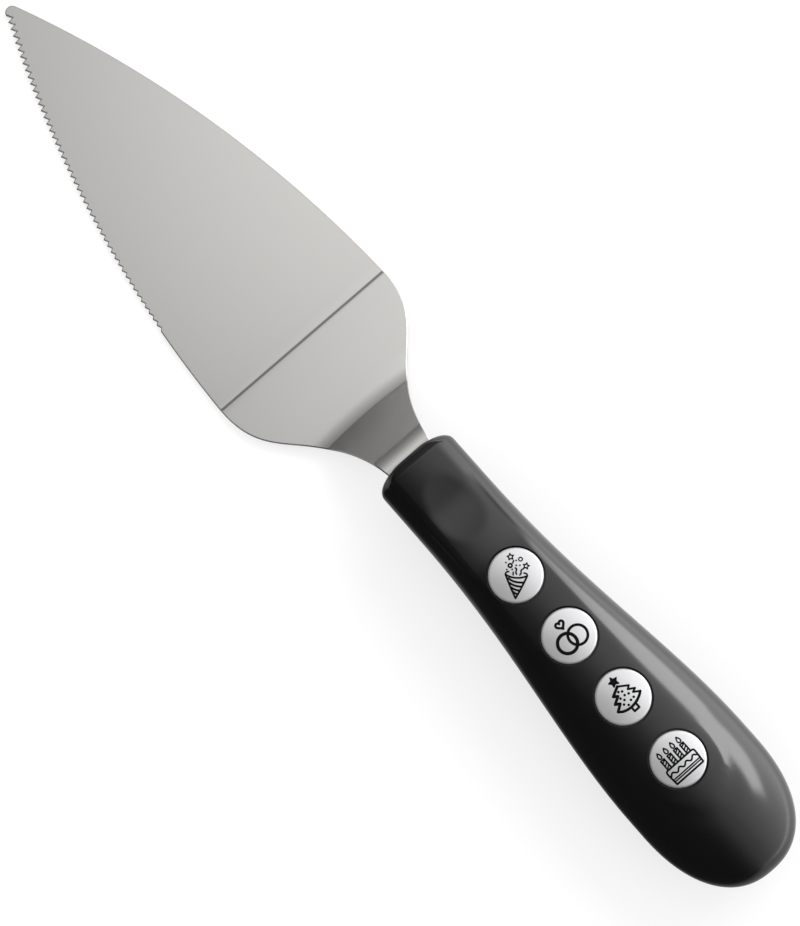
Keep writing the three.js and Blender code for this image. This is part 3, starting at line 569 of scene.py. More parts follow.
# Plan outline of the blade as distances back from the tip and across it, with the reach of its grinding
# and the size of the chamfer on its top edge
def blade_outline():
    start, centre, radius = edge_arc()
    turn = np.radians(np.linspace(EDGE_ANGLE - 90, 90 - EDGE_ANGLE, 13))
    tip = np.column_stack((TIP_RADIUS * (1 - np.cos(turn)), TIP_RADIUS * np.sin(turn)))
    teeth, inward = tooth_points(centre, radius)
    last = teeth[-1][0] + TOOTH_PITCH * (1 - NOTCH_SHARE)
    back = shoulder_points()
    heel = np.vstack((edge_points(centre, radius, last, BLADE_LENGTH, 20), back))
    plain = np.vstack((edge_points(centre, radius, start, BLADE_LENGTH, 80)[1:], back))
    plain[:, 1] *= -1
    outline = np.vstack((tip, teeth, heel, plain[::-1]))
    ground = np.vstack((np.zeros_like(tip), inward, np.zeros_like(heel), np.zeros_like(plain)))
    chamfer = np.full(len(outline), EDGE_CHAMFER)
    chamfer[-len(plain):] *= PLAIN_EDGE
    return outline, ground, chamfer


def loop_offsets(loop):
    following = np.roll(loop, -1, axis=0)
    after = unit(following - loop)
    side = np.column_stack((after[:, 1], -after[:, 0]))
    mitre = unit(np.roll(side, 1, axis=0) + side)
    mitre /= np.maximum(0.5, np.sum(mitre * side, axis=1))[:, None]
    area = np.sum(loop[:, 0] * following[:, 1] - loop[:, 1] * following[:, 0])
    return mitre * np.sign(area)


# Way along and up over a bend between two slopes
def bend(radius, a, b):
    return radius * np.array((sin(b) - sin(a), cos(a) - cos(b)))


# Underside of the sheet from the tip to the end of the tang, with its slope at each point
def neck_path():
    crease, kink, neck = np.radians((CREASE_ANGLE, KINK_ANGLE, NECK_ANGLE))
    bends = ((SOFT_BEND_RADIUS, crease, kink), (KINK_RADIUS, kink, neck))
    foot = np.array((BLADE_LENGTH, 0))
    top = np.array((NECK_END, PARTING - SHEET / 2))
    run, rise = top - foot - sum(bend(*turn) for turn in bends) - bend(UPPER_BEND_RADIUS, 0, neck)
    straight = (rise - run * tan(crease)) / (tan(neck) - tan(crease))
    place = foot + (run - straight) * np.array((1, tan(crease)))
    path = [(0, 0, 0), (*foot, 0), (*foot, crease)]
    for radius, a, b in bends:
        path += [(*(place + bend(radius, a, turn)), turn) for turn in np.linspace(a, b, 14)]
        place = place + bend(radius, a, b)
    path += [(*(top - bend(UPPER_BEND_RADIUS, 0, turn)), turn) for turn in np.linspace(neck, 0, 16)]
    path.append((top[0] + EXPOSED_TANG + TANG_LENGTH, top[1], 0))
    return np.array(path)


# The flat sheet with rounded lower edges and chamfered top edges, as rings from underside to top
def flat_sheet():
    outline, inward, chamfer = blade_outline()
    sides = loop_offsets(outline)
    lift = GROUND_RISE * np.linalg.norm(inward, axis=1) / GROUND_WIDTH
    turns = np.radians(np.linspace(0, 90, 5))
    rounds = [(BLADE_ROUND * (1 - sin(turn)), BLADE_ROUND * (1 - cos(turn))) for turn in turns]
    levels = [(outline + inward - sides * BLADE_ROUND, 0 * lift)]
    levels += [(outline - sides * inset, lift + height) for inset, height in rounds]
    for inset, drop in ((0, 0.9), (0.08, 0.75), (0.8, 0.08), (1, 0)):
        levels.append((outline - sides * (inset * chamfer)[:, None], SHEET - drop * chamfer))
    return loft([np.column_stack((TIP - plan[:, 0], plan[:, 1], level)) for plan, level in levels])


# The crease behind the spear is a small pressed step, which eases out up the shoulder
def crease_lift(s):
    start = BLADE_LENGTH - CREASE_HALF
    end = BLADE_LENGTH + CREASE_HALF
    return CREASE_STEP * (smooth(s, start, end) - smooth(s, end, BLADE_LENGTH + CREASE_FADE))


# Lines across the sheet at which it can bend, and lines along the neck, where the kink is bowed
def score(work, path):
    kink = path[path[:, 2] > radians(KINK_ANGLE)][0, 0]
    crease = BLADE_LENGTH + CREASE_HALF * np.linspace(-1, 1, 9)
    upper = path[-17:-1, 0]
    upper_top = upper - SHEET * np.sin(path[-17:-1, 2])
    across = (np.linspace(4, 116, 15), crease, np.arange(kink - 8, kink + 4, 0.2), upper, upper_top)
    for s in np.unique(np.round(np.concatenate(across), 3)):
        everything = work.verts[:] + work.edges[:] + work.faces[:]
        place = Vector(((TIP - s) * MM, 0, 0))
        bmesh.ops.bisect_plane(work, geom=everything, plane_co=place, plane_no=(1, 0, 0), dist=1e-7)
    for y in np.arange(-18, 18.1, 1.5):
        near = [face for face in work.faces if abs(TIP - face.calc_center_median().x / MM - kink + 2) < 6]
        ring = {edge for face in near for edge in face.edges}
        corners = {vertex for face in near for vertex in face.verts}
        geometry = list(corners) + list(ring) + near
        bmesh.ops.bisect_plane(work, geom=geometry, plane_co=(0, y * MM, 0), plane_no=(0, 1, 0), dist=1e-7)
    return kink


def blade():
    piece = mesh_object("blade_sheet", *flat_sheet())
    path = neck_path()
    work = bmesh.new()
    work.from_mesh(piece.data)
    bmesh.ops.remove_doubles(work, verts=work.verts, dist=1e-7)
    kink = score(work, path)
    for edge in work.edges:
        flat = [abs(face.normal.z) > 0.9999 for face in edge.link_faces]
        edge.smooth = flat[0] == flat[-1] and edge.calc_face_angle(0) < radians(40)
    top_s = path[:, 0] - SHEET * np.sin(path[:, 2])
    top_z = path[:, 1] + SHEET * np.cos(path[:, 2])
    for vertex in work.verts:
        s = TIP - vertex.co.x / MM
        near = smooth(s - kink, *BOW_IN) * (1 - smooth(s - kink, *BOW_OUT))
        bowed = s - KINK_BOW * near * (vertex.co.y / MM / KINK_REACH) ** 2
        low = np.interp(bowed, path[:, 0], path[:, 1])
        high = np.interp(bowed, top_s, top_z) + crease_lift(s)
        vertex.co.z = lerp(low, high, vertex.co.z / MM / SHEET) * MM
    for face in work.faces:
        face.smooth = True
    work.to_mesh(piece.data)
    work.free()
    bore = [(0, 0), (TANG_HOLE_RADIUS, 0), (TANG_HOLE_RADIUS, 2 * PARTING), (0, 2 * PARTING)]
    cut(piece, merge([turned(bore, FRONT - t, 0, 32) for t in TANG_HOLES]))
    dress(piece, "handle", STEEL, "blade_steel", "blade")


# Handle form

def half_width(t):
    share = np.clip((t - WAIST_LENGTH) / (REST_AT - WAIST_LENGTH), 0, 1) ** SWELL_POWER
    return lerp(FRONT_HALF, BUTT_HALF, smooth(share, 0, 1))


def rise(t):
    level = lerp(FRONT_RISE, PANEL_RISE, smooth(t, SCOOP_LENGTH / 2, PANEL_FRONT))
    across = np.clip(2 * t / SCOOP_LENGTH - 1, -1, 1)
    return level - SCOOP_DEPTH * (1 - across**2) ** 2


def depth(t):
    return PARTING - FRONT_LIFT * np.maximum(0, 1 - t / REST_AT) ** 2


def taper(t, wall):
    end = HANDLE_LENGTH - wall
    return rounded(np.clip((t - ROUND_START) / (end - ROUND_START), 0, 1), END_POWER)


# The lower of two surfaces, rounded where they meet
def lower(a, b, radius):
    share = np.clip(0.5 + 0.5 * (b - a) / radius, 0, 1)
    return lerp(b, a, share) - radius * share * (1 - share)


# The top is one long facet with a slight crown, from the front end to behind the last button
def facet(t, y):
    crest = lerp(FRONT_RISE, PANEL_TOP, smooth(t, FACET_START, PANEL_FRONT + CAP_RADIUS))
    return crest - FACET_CROWN * y**2


# Height of the flanks' crest, which lets the facet meet them at the fold on each side
def flank_rise(t):
    fold = lerp(FOLD_FRONT, FOLD_MIDDLE, smooth(t, FACET_START, BUTTON_AT[2] - CAP_RADIUS))
    fold = lerp(fold, FOLD_REAR, smooth(t, BUTTON_AT[2] - CAP_RADIUS, LAST_BUTTON))
    return facet(t, fold) / rounded(fold / half_width(t), SECTION_POWER)


# Shallow oval dish for the thumb
def dish(t, y):
    along = (t - DISH_AT) / DISH_HALF
    crown = DISH_CROWN * FACET_CROWN * y**2
    return DISH_FLOOR + DISH_RISE * along**2 + DISH_TILT * (t - DISH_AT) + crown


# Behind the last button the facet ends in an arc, with a small step down to the butt
def panel_step(t, y):
    reach = np.hypot((t - LAST_BUTTON) / PANEL_END, y / PANEL_END_HALF)
    share = np.clip((reach - 1) / PANEL_STEP_WIDTH, 0, 1)
    fade = smooth(t - LAST_BUTTON, *PANEL_STEP_IN) * (1 - smooth(t - ROUND_START, *PANEL_STEP_OUT))
    return PANEL_STEP * share * (2 - share) * fade


def top_form(t, y, flank, edge):
    height = lower(flank, facet(t, y) - edge, FOLD_ROUND)
    height = lower(height, dish(t, y) - edge, DISH_ROUND)
    height = height - panel_step(t, y) * smooth(height, *PANEL_STEP_RISE)
    return np.maximum(0, height)


def section(t, y):
    return taper(t, 0) * rounded(y / (half_width(t) * taper(t, 0)), SECTION_POWER)


def top_at(t, y):
    return top_form(t, y, flank_rise(t) * section(t, y), 0)


def under_at(t, y):
    return -depth(t) * section(t, y)


# A sine or cosine drawn out towards the square shoulders of the sections
def squared(wave):
    return np.sign(wave) * np.abs(wave) ** (2 / SECTION_POWER)


def placed(t, y, z):
    t, y, z = np.broadcast_arrays(t, y, z)
    return np.column_stack((FRONT - t, y, PARTING + z))


# The sides draw in towards the front end, which is an arc in plan
def nose(t):
    return NOSE_INSET * (1 - rounded(np.clip(1 - t / NOSE_LENGTH, 0, 1), 2))


# Half of one section, with a small chamfer where it meets the other shell
def half_ring(t, edge, upper):
    half = (half_width(t) - nose(t)) * taper(t, 0)
    height = ((flank_rise(t) if upper else depth(t)) - edge) * taper(t, 0)
    seam = min(SEAM, SEAM_SHARE * half, SEAM_SHARE * height)
    first = asin((seam / height) ** (SECTION_POWER / 2))
    turn = np.linspace(first, pi - first, 120)
    y = half * squared(np.cos(turn))
    z = height * squared(np.sin(turn))
    if upper:
        z = top_form(t, y, z, edge)
    y = np.concatenate(([y[0] - seam], y, [y[-1] + seam]))
    z = np.concatenate(([0], z, [0]))
    return placed(t, y, z if upper else -z)


# Bevel round the front end from its face to the facet, as distances along and down
def front_bevel():
    fold = [(0.08, 7), (0.08, 14), (0.08, 21)]
    face = [(0.3, slope) for slope in np.linspace(28, 42, 8)]
    rim = [(0.02, 62)]
    path = [(FRONT_BEVEL, 0.0)]
    for run, slope in fold + face + rim:
        along, edge = path[-1]
        path.append((max(0, along - run), edge + run * tan(radians(slope))))
    path.append((0, path[-1][1] + 0.25))
    return path[::-1]


def half_form(upper):
    rings = [half_ring(along, edge, upper) for along, edge in front_bevel()]
    places = [FRONT_BEVEL + 0.06, FRONT_BEVEL + 0.2, *np.linspace(FRONT_BEVEL, ROUND_START, 170)[1:]]
    for share in np.linspace(0, 1, 40)[1:]:
        turn = radians(89.8) * (1 - (1 - share) ** 1.6)
        places.append(ROUND_START + BUTT_ROUND * sin(turn))
    return loft(rings + [half_ring(t, 0, upper) for t in places])


# The whole form drawn in by a wall
def inner_form(wall):
    angle = around(64)
    across = squared(np.cos(angle))
    upward = squared(np.sin(angle))
    end = HANDLE_LENGTH - wall
    places = np.linspace(WALL, ROUND_START, 60).tolist()
    for turn in (15, 30, 45, 60, 75, 88):
        places.append(ROUND_START + (end - ROUND_START) * sin(radians(turn)))
    rings = []
    for t in places:
        draw = taper(t, wall)
        height = np.where(upward > 0, rise(t) - wall, depth(t) - wall) * draw
        rings.append(placed(t, (half_width(t) - wall) * draw * across, height * upward))
    return loft(rings)


def rounded_rectangle(t0, t1, half, radius, steps=9):
    loop = []
    corners = ((t1 - radius, half - radius), (t0 + radius, half - radius))
    corners += ((t0 + radius, radius - half), (t1 - radius, radius - half))
    for quarter, (t, y) in enumerate(corners):
        turn = np.radians(np.linspace(90 * quarter, 90 * quarter + 90, steps))
        loop.append(np.column_stack((t + radius * np.cos(turn), y + radius * np.sin(turn))))
    return np.vstack(loop)


# Upright solid over a plan loop; each level is an offset of the loop and a height or a surface
def upright(loop, levels):
    sides = loop_offsets(loop)
    rings = []
    for offset, height in levels:
        plan = loop + sides * offset
        level = height(plan[:, 0], plan[:, 1]) if callable(height) else height
        rings.append(placed(plan[:, 0], plan[:, 1], level))
    return loft(rings)


# Levels of a hole from an inner height out through a surface, with a rounded mouth; side is 1 for the
# top and -1 for the underside, and a negative radius gives the rounded edge of a plate instead
def mouth(surface, side, inner, radius):
    levels = [(0, inner)]
    size = abs(radius)
    for turn in np.radians((0, 20, 40, 60, 72)):
        sink = size * (1 - sin(turn))
        levels.append((radius * (1 - cos(turn)), lambda t, y, d=sink: surface(t, y) - side * d))
    reach = levels[-1][0] + copysign(1, radius) * sin(turn)
    levels.append((reach, lambda t, y: surface(t, y) + side * (cos(turn) - size * 0.05)))
    levels.append((reach, lambda t, y: surface(t, y) + side * 5))
    return levels


# Slot for the tang between two heights
def tang_slot(low, high):
    loop = rounded_rectangle(-1, TANG_LENGTH + FIT, TANG_WIDTH / 2 + FIT, 0.5, 3)
    return upright(loop, [(0, low), (0, high)])


def top_shell():
    form = half_form(True)
    piece = mesh_object("upper_shell", *form)
    cut(piece, inner_form(WALL))
    well = [(0, -1), (0, WELL_TOP)]
    cut(piece, merge([upright(circle(t, 0, CAP_RADIUS + FLANGE_LIP + FIT, 64), well) for t in BUTTON_AT]))
    shape = mouth(top_at, 1, WELL_TOP - 1, HOLE_ROUND)
    cut(piece, merge([upright(circle(t, 0, CAP_RADIUS + HOLE_GAP, 96), shape) for t in BUTTON_AT]))
    cut(piece, tang_slot(-1, SHEET / 2 + FIT))
    shade_like(piece, form)
    dress(piece, "handle", PLASTIC, "black_plastic", "handle_top_shell")


# Underside

# Plan loops round the door and the battery tray, grown by a margin

def door_loop(margin, corner):
    low, high = span("battery_door")
    return rounded_rectangle(FRONT - high[0] - margin, FRONT - low[0] + margin, high[1] + margin, corner)


def tray_loop(margin, corner):
    front = FRONT - span("battery_contact_plus")[1][0] - CONTACT_GAP
    rear = FRONT - span("battery_contact_minus")[0][0] + CONTACT_GAP
    half = span("battery_cell_1")[1][1] + FIT
    return rounded_rectangle(front - margin, rear + margin, half + margin, corner, 3)


def screw_bores():
    bores = []
    for number in range(1, 5):
        node = "shell_screw_%d" % number
        x, y, _ = middle(node)
        bores.append((FRONT - x, y, span(node)[0][2] + SHELL_SCREW[1] - PARTING))
    return bores


# The room inside the lower shell: the cavity less the door's frame, the tray and the screw bosses
def lower_room():
    ledge = upright(door_loop(DOOR_MARGIN, DOOR_CORNER), [(0, BENEATH), (0, DOOR_TOP)])
    room = solid_cut(inner_form(WALL), solid_cut(ledge, inner_form(DOOR_WALL + FIT + DOOR_LEDGE)))
    tray = upright(tray_loop(TRAY_WALL, 0.5), [(0, BENEATH), (0, TRAY_TOP)])
    room = solid_cut(room, tray)
    bosses = []
    for (t, y, _), radius in zip(screw_bores(), 2 * (BOSS_RADIUS,) + 2 * (REAR_BOSS_RADIUS,)):
        bosses.append(upright(circle(t, y, radius, 40), [(0, BENEATH), (0, BOSS_TOP)]))
    screw_at = FRONT - middle("battery_door_screw")[0]
    wall = circle(screw_at, 0, SLEEVE_RADIUS + FIT + SLEEVE_WALL, 40)
    bosses.append(upright(wall, [(0, BENEATH), (0, SLEEVE_WALL_TOP)]))
    return solid_cut(room, merge(bosses))


def sound_holes():
    speaker = FRONT - middle("speaker_gasket")[0]
    places = [(speaker, 0)]
    for ring, count in ((1, 6), (2, 12)):
        for turn in around(count):
            reach = ring * SOUND_HOLE_STEP
            places.append((speaker + reach * cos(turn), reach * sin(turn)))
    shape = mouth(under_at, -1, -SPEAKER_DEPTH, SOUND_HOLE_ROUND)
    return merge([upright(circle(t, y, SOUND_HOLE / 2, 24), shape) for t, y in places])


def doorway():
    loop = door_loop(FIT, DOOR_CORNER + FIT)
    opening = upright(loop, mouth(under_at, -1, DOOR_TOP, DOOR_EDGE_ROUND))
    return solid_cut(opening, inner_form(DOOR_WALL + 0.2))


def bottom_shell():
    form = half_form(False)
    piece = mesh_object("lower_shell", *form)
    cut(piece, lower_room())
    cut(piece, doorway())
    ceiling = span("battery_cell_1")[1][2] + FIT - PARTING
    cut(piece, upright(tray_loop(0, 0.4), [(0, -PARTING), (0, ceiling)]))
    screw_at = FRONT - middle("battery_door_screw")[0]
    cut(piece, upright(circle(screw_at, 0, SLEEVE_RADIUS + FIT, 48), [(0, -PARTING), (0, SLEEVE_TOP)]))
    bores = []
    for t, y, seat in screw_bores():
        bore = circle(t, y, SHELL_SCREW[0] / 2 + FIT, 40)
        bores.append(upright(bore, mouth(under_at, -1, seat, BORE_ROUND)))
    cut(piece, merge(bores))
    cut(piece, sound_holes())
    cut(piece, tang_slot(-SHEET / 2 - FIT, 1))
    shade_like(piece, form)
    dress(piece, "handle", PLASTIC, "black_plastic", "handle_bottom_shell")


def battery_door():
    form = half_form(False)
    loop = door_loop(0, DOOR_CORNER)
    piece = mesh_object("door_plate", *form)
    cut(piece, upright(loop, mouth(under_at, -1, DOOR_TOP, -DOOR_EDGE_ROUND)), "INTERSECT")
    cut(piece, inner_form(DOOR_WALL))
    x, y, _ = middle("battery_door_screw")
    t = FRONT - x
    top = span("battery_door")[1][2] - PARTING
    cut(piece, upright(circle(t, y, SLEEVE_RADIUS, 48), [(0, -PARTING + 1.2), (0, top)]), "UNION")
    seat = span("battery_door_screw")[0][2] + DOOR_SCREW[1] + 0.2 - PARTING
    cut(piece, upright(circle(t, y, DOOR_SCREW[0] / 2 + FIT, 40), mouth(under_at, -1, seat, BORE_ROUND)))
    cut(piece, upright(circle(t, y, DOOR_SCREW[2] / 2 + FIT, 32), [(0, -PARTING), (0, 0)]))
    shade_like(piece, form)
    dress(piece, "battery_door", PLASTIC, "black_plastic", "battery_door")


# Screws: a low dome head, pointing down, with a cross recess and a thread up the shank
def screw(name, node, size, body):
    head, head_height, shank = size
    low = span(node)[0][2]
    high = span(node)[1][2]
    x, y, _ = middle(node)
    base = low + head_height
    outer = [(0, low), (0.3 * head, low + 0.05), (0.44 * head, low + 0.35), (head / 2, low + 0.8)]
    profile = fillet(outer + [(head / 2, base), (shank / 2, base)], 0.12) + [(shank * 0.42, base + 0.4)]
    piece = mesh_object(name, *threaded(profile, x, y, base + 0.4, high, shank))
    arm = rounded_rectangle(-0.32 * head, 0.32 * head, 0.07 * head, 0.05 * head, 4)
    sink = [(0, low - 1 - PARTING), (-0.05, base - 0.4 - PARTING)]
    for loop in (arm, arm[::-1, ::-1]):
        cut(piece, upright(loop + np.array((FRONT - x, y)), sink))
    shade_flats(piece)
    dress(piece, body, SCREW_STEEL, "screw_steel", node)


# A turned head carried on as a shank with a helical thread and a blunt point
def threaded(profile, x, y, low, high, shank, sides=32):
    point = 1.2
    turn = around(sides)
    rings = [ring_at(x, y, height, radius, sides) for radius, height in profile[1:]]
    for z in np.arange(low + 0.05, high - 0.1, THREAD_PITCH / 8):
        phase = ((z - low) / THREAD_PITCH - turn / (2 * np.pi)) % 1
        ridge = np.maximum(0, 1 - np.abs(phase - 0.5) * 4)
        fade = min(1, (high - z) / point, (z - low) / 0.5 + 0.05)
        radius = shank * (0.40 + 0.10 * ridge * fade) * min(1, 0.55 + 0.45 * (high - z) / point)
        rings.append(ring_at(x, y, z, radius, sides))
    return spindle((x, y, profile[0][1]), rings, (x, y, high))


# Buttons

def crown_at(node, radius):
    rim = CAP_RADIUS - CAP_ROUND
    return span(node)[1][2] - CAP_CROWN * (radius / rim) ** 2


def flange_at(node):
    return span(node)[0][2] + STEM_LENGTH


# Silver cap with a crowned top
def cap(name):
    node = name + "_button"
    x, y, _ = middle(node)
    rim = CAP_RADIUS - CAP_ROUND
    edge = span(node)[1][2] - CAP_CROWN
    skirt = flange_at(node) + FLANGE - INK_SINK
    profile = [(0, skirt), (CAP_RADIUS - 0.1, skirt), (CAP_RADIUS, skirt + 0.1)]
    for turn in np.radians(np.linspace(0, 75, 7)):
        profile.append((rim + CAP_ROUND * cos(turn), edge - CAP_ROUND * (1 - sin(turn))))
    for radius in np.linspace(rim, 0, 16):
        profile.append((radius, crown_at(node, radius)))
    piece = mesh_object(name + "_cap", *turned(profile, x, y, 128))
    shade(piece)
    dress(piece, node, SILVER, "silver_caps", node)


# Black plunger under the cap, with the flange that keeps it in the handle
def plunger(name):
    node = name + "_button"
    x, y, _ = middle(node)
    low = span(node)[0][2]
    flange = flange_at(node)
    lip = CAP_RADIUS + FLANGE_LIP
    profile = [(0, low), (STEM_RADIUS, low), (STEM_RADIUS, flange), (lip, flange), (lip, flange + FLANGE)]
    profile += [(CAP_RADIUS - 0.4, flange + FLANGE), (0, flange + FLANGE)]
    piece = mesh_object(name + "_plunger", *turned(fillet(profile, 0.2), x, y, 96))
    shade_flats(piece)
    dress(piece, node, PLASTIC, "black_plastic")


# Pictograms: strokes and spots in a cap's own frame, u to the right and v up, up being towards the tip

# A line of ink in short lengths, which can follow the crown, with round joints
def stroke(path, width, closed=False, step=0.5):
    path = [np.array(point, float) for point in path]
    shapes = [circle(point[0], point[1], width / 2, 14) for point in path]
    for start, end in zip(path, path[1:] + path[:1] if closed else path[1:]):
        along = unit(end - start)
        across = np.array((-along[1], along[0])) * width / 2
        stops = np.linspace(start, end, 1 + ceil(np.linalg.norm(end - start) / step))
        for a, b in zip(stops, stops[1:]):
            shapes.append(np.array((a - across, b - across, b + across, a + across)))
    return shapes


# Strokes from rows of a width, a path and True where the path is closed
def drawn(*rows):
    return [shape for width, path, *closed in rows for shape in stroke(path, width, *closed)]


def star(u, v, radius, inner=0.42, lean=0):
    turn = np.radians(np.arange(10) * 36 + 90 + lean)
    reach = np.where(np.arange(10) % 2, radius * inner, radius)
    return np.column_stack((u + reach * np.cos(turn), v + reach * np.sin(turn)))


def heart(u, v, size):
    turn = around(40)
    across = 16 * np.sin(turn) ** 3
    up = 13 * np.cos(turn) - 5 * np.cos(2 * turn) - 2 * np.cos(3 * turn) - np.cos(4 * turn)
    return np.column_stack((u + across * size / 32, v + (up + 2.5) * size / 32))


def leaned(shapes, degrees):
    turn = radians(degrees)
    matrix = np.array(((cos(turn), sin(turn)), (-sin(turn), cos(turn))))
    return [shape @ matrix.T for shape in shapes]


def popper_print():
    point = (-0.07, -5.4)
    left = (-2.4, 0.15)
    right = (2.65, -0.2)
    curves = (
        (0.46, 10, left, (-1.6, -2.1), point),
        (0.46, 10, point, (1.75, -2.3), right),
        (0.44, 14, left, (-1.1, -0.85), (1.2, -0.95), right),
        (0.4, 8, left, (-2.4, 0.75), (-1.65, 0.8)),
        (0.4, 8, right, (2.75, 0.4), (1.9, 0.45)),
        (0.48, 10, (-1.65, -0.75), (-0.6, -1.9), (1.8, -1.75)),
        (0.48, 10, (-1.4, -1.85), (-0.4, -2.65), (1.2, -2.7)),
        (0.48, 10, (-1.0, -2.9), (-0.3, -3.5), (0.7, -3.6)),
        (0.48, 10, (-0.6, -3.9), (-0.2, -4.3), (0.3, -4.4)),
    )
    shapes = drawn(
        *((width, bezier(corners, steps)) for width, steps, *corners in curves),
        (0.32, star(-1.25, 4.25, 0.78, 0.5, 10), True),
        (0.32, star(2.4, 2.1, 0.74, 0.5, -12), True),
        (0.42, circle(-1.3, 2.2, 0.43), True),
        (0.3, circle(1.1, 3.7, 0.43), True),
        (0.38, bezier(((-0.15, 1.65), (0.7, 1.3), (-0.4, 0.8), (0.2, 0.2)), 10)),
        (0.38, bezier(((1.75, 1.45), (0.75, 1.1), (1.6, 0.5), (0.95, 0.0)), 10)),
        (0.36, ((-0.6, 0.65), (-0.62, 0.0))),
        (0.36, ((-0.5, 3.35), (-0.72, 2.8))),
    )
    dots = ((-2.3, 2.9), (-2.1, 1.25), (-0.85, 1.3), (0.1, 3.4), (0.1, 2.25), (0.95, 2.25))
    return leaned(shapes + [circle(u, v, 0.22) for u, v in dots], POPPER_LEAN)


def rings_print():
    left = circle(-1.5, -1.13, 2.32, 56)
    right = circle(1.6, -1.15, 2.32, 56)
    return drawn((0.8, left, True), (0.66, right, True), (0.6, heart(0, 3.0, 2.1), True))


def tree_print():
    top = star(0.56, 4.0, 1.2, 0.5)
    left = ((0.5, 2.65), (-1.75, 1.5), (-0.85, 0.9), (-2.6, -0.1), (-1.6, -0.7), (-3.2, -1.8))
    right = ((0.5, 2.65), (2.7, 1.17), (1.9, 0.65), (3.35, -0.2), (2.4, -0.6), (3.8, -1.5))
    hem = bezier((left[-1], (-1.6, -3.4), (1.6, -3.3), right[-1]), 20)
    trunk = ((-0.2, -2.9), (-0.2, -4.1), (1.2, -4.1), (1.2, -2.8))
    lines = drawn((0.34, top, True), (0.68, left), (0.5, right), (0.64, hem), (0.54, trunk))
    dots = ((-0.16, 1.55), (0.6, 1.1), (0.47, 0.1), (1.41, -0.2), (-0.77, 0.13))
    dots += ((-0.29, -0.69), (0.84, -1.64), (1.78, -1.53), (-1.06, -1.4), (-0.32, -2.17))
    return [top] + lines + [circle(u, v, 0.31) for u, v in dots]


def candle(u):
    low = -0.35
    high = 2.15
    half = 0.5
    shapes = stroke(((u - half, low), (u - half, high), (u + half, high), (u + half, low)), 0.4)
    for v in (0.2, 0.95, 1.7):
        shapes += stroke(((u - half, v - 0.3), (u + half, v + 0.3)), 0.36)
    right = bezier(((u, 4.0), (u + 0.75, 3.0), (u + 0.35, 2.55), (u, 2.55)), 8)
    left = bezier(((u, 2.55), (u - 0.35, 2.55), (u - 0.75, 3.0), (u, 4.0)), 8)
    return shapes + stroke(np.vstack((right, left[1:-1])), 0.36, True)


def cake_print():
    shapes = []
    for u in (-2.9, -0.98, 0.95, 2.85):
        shapes += candle(u)
    corner = bezier(((-4.1, -1.6), (-4.25, -0.4), (-3.9, -0.4), (-3.2, -0.4)), 8)
    top = np.vstack((corner, corner[::-1] * np.array((-1, 1))))
    icing = [(u, -1.75 - 0.32 * cos(u * pi / 1.03)) for u in np.linspace(-4.1, 4.1, 50)]
    sides = ((-4.1, -1.6), (-3.95, -4.05), (3.95, -4.05), (4.1, -1.6))
    bands = [(0.34, ((-3.95, v), (3.95, v))) for v in (-2.85, -3.35)]
    return shapes + drawn((0.46, top), (0.42, icing), (0.46, sides), *bands)


# The shapes joined into one thin layer of ink that lies on the crown of its cap
def printed(name, shapes):
    node = name + "_button"
    x, y, _ = middle(node)
    corners = []
    faces = []
    for shape in shapes:
        faces.append(list(range(len(corners), len(corners) + len(shape))))
        corners.extend(Vector(corner) for corner in shape)
    flat, _, cells, _, _, origins = delaunay_2d_cdt(corners, [], faces, 0, 1e-4)
    cells = [cell for cell, origin in zip(cells, origins) if origin]
    flat = np.array([tuple(corner) for corner in flat])
    crown = crown_at(node, np.hypot(flat[:, 0], flat[:, 1]))
    plan = np.column_stack((x + flat[:, 1], y - flat[:, 0]))
    points = np.vstack((np.column_stack((plan, crown + INK)), np.column_stack((plan, crown - INK_SINK))))
    count = len(flat)
    sides = {}
    for cell in cells:
        for a, b in zip(cell, cell[1:] + cell[:1]):
            sides[(a, b)] = True
    walls = [(a, b, b + count, a + count) for a, b in sides if (b, a) not in sides]
    under = [tuple(corner + count for corner in cell[::-1]) for cell in cells]
    piece = mesh_object(name + "_print", points, [tuple(cell) for cell in cells] + under + walls)
    shade_flats(piece)
    dress(piece, node, PRINT, "black_plastic")


def dome(name):
    node = name + "_dome"
    low, high = span(node)
    x, y, _ = middle(node)
    foot = (high[0] - low[0]) / 2
    base = low[2]
    top = high[2]
    profile = [(0, top), (3.1, top), (3.5, top - 0.6), (foot - 1, base + 0.9), (foot, base + 0.9)]
    profile += [(foot, base), (foot - 1.4, base), (foot - 1.4, base + 0.4), (2.6, top - 1), (0, top - 1)]
    piece = mesh_object(name + "_switch", *turned(fillet(profile, 0.25), x, y, 64))
    shade(piece)
    dress(piece, "handle", SILICONE, "silicone", node)
    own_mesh(piece)


def pill(name):
    node = name + "_pill"
    low, high = span(node)
    x, y, _ = middle(node)
    radius = (high[0] - low[0]) / 2
    profile = fillet([(0, low[2]), (radius, low[2]), (radius, high[2]), (0, high[2])], 0.12)
    piece = mesh_object(name + "_contact", *turned(profile, x, y, 48))
    shade_flats(piece)
    dress(piece, name + "_button", CARBON, "carbon", node)


def cell(number):
    node = "battery_cell_%d" % number
    low, high = span(node)
    x, y, z = middle(node)
    radius = (high[1] - low[1]) / 2
    half = (high[0] - low[0]) / 2
    profile = [(0, -half), (4.8, -half), (4.8, 0.5 - half), (5.2, 0.5 - half), (5.2, 0.35 - half)]
    profile += [(radius, 0.35 - half), (radius, half), (radius - 0.9, half)]
    profile += [(radius - 1.0, half - 0.06), (0, half - 0.06)]
    upright_cell = turned(fillet(profile, 0.3), 0, 0, 96)
    piece = mesh_object("cell_%d" % number, *laid_along_x(upright_cell, x, y, z))
    shade_flats(piece)
    dress(piece, "handle", CELL_STEEL, "cell_steel", node)


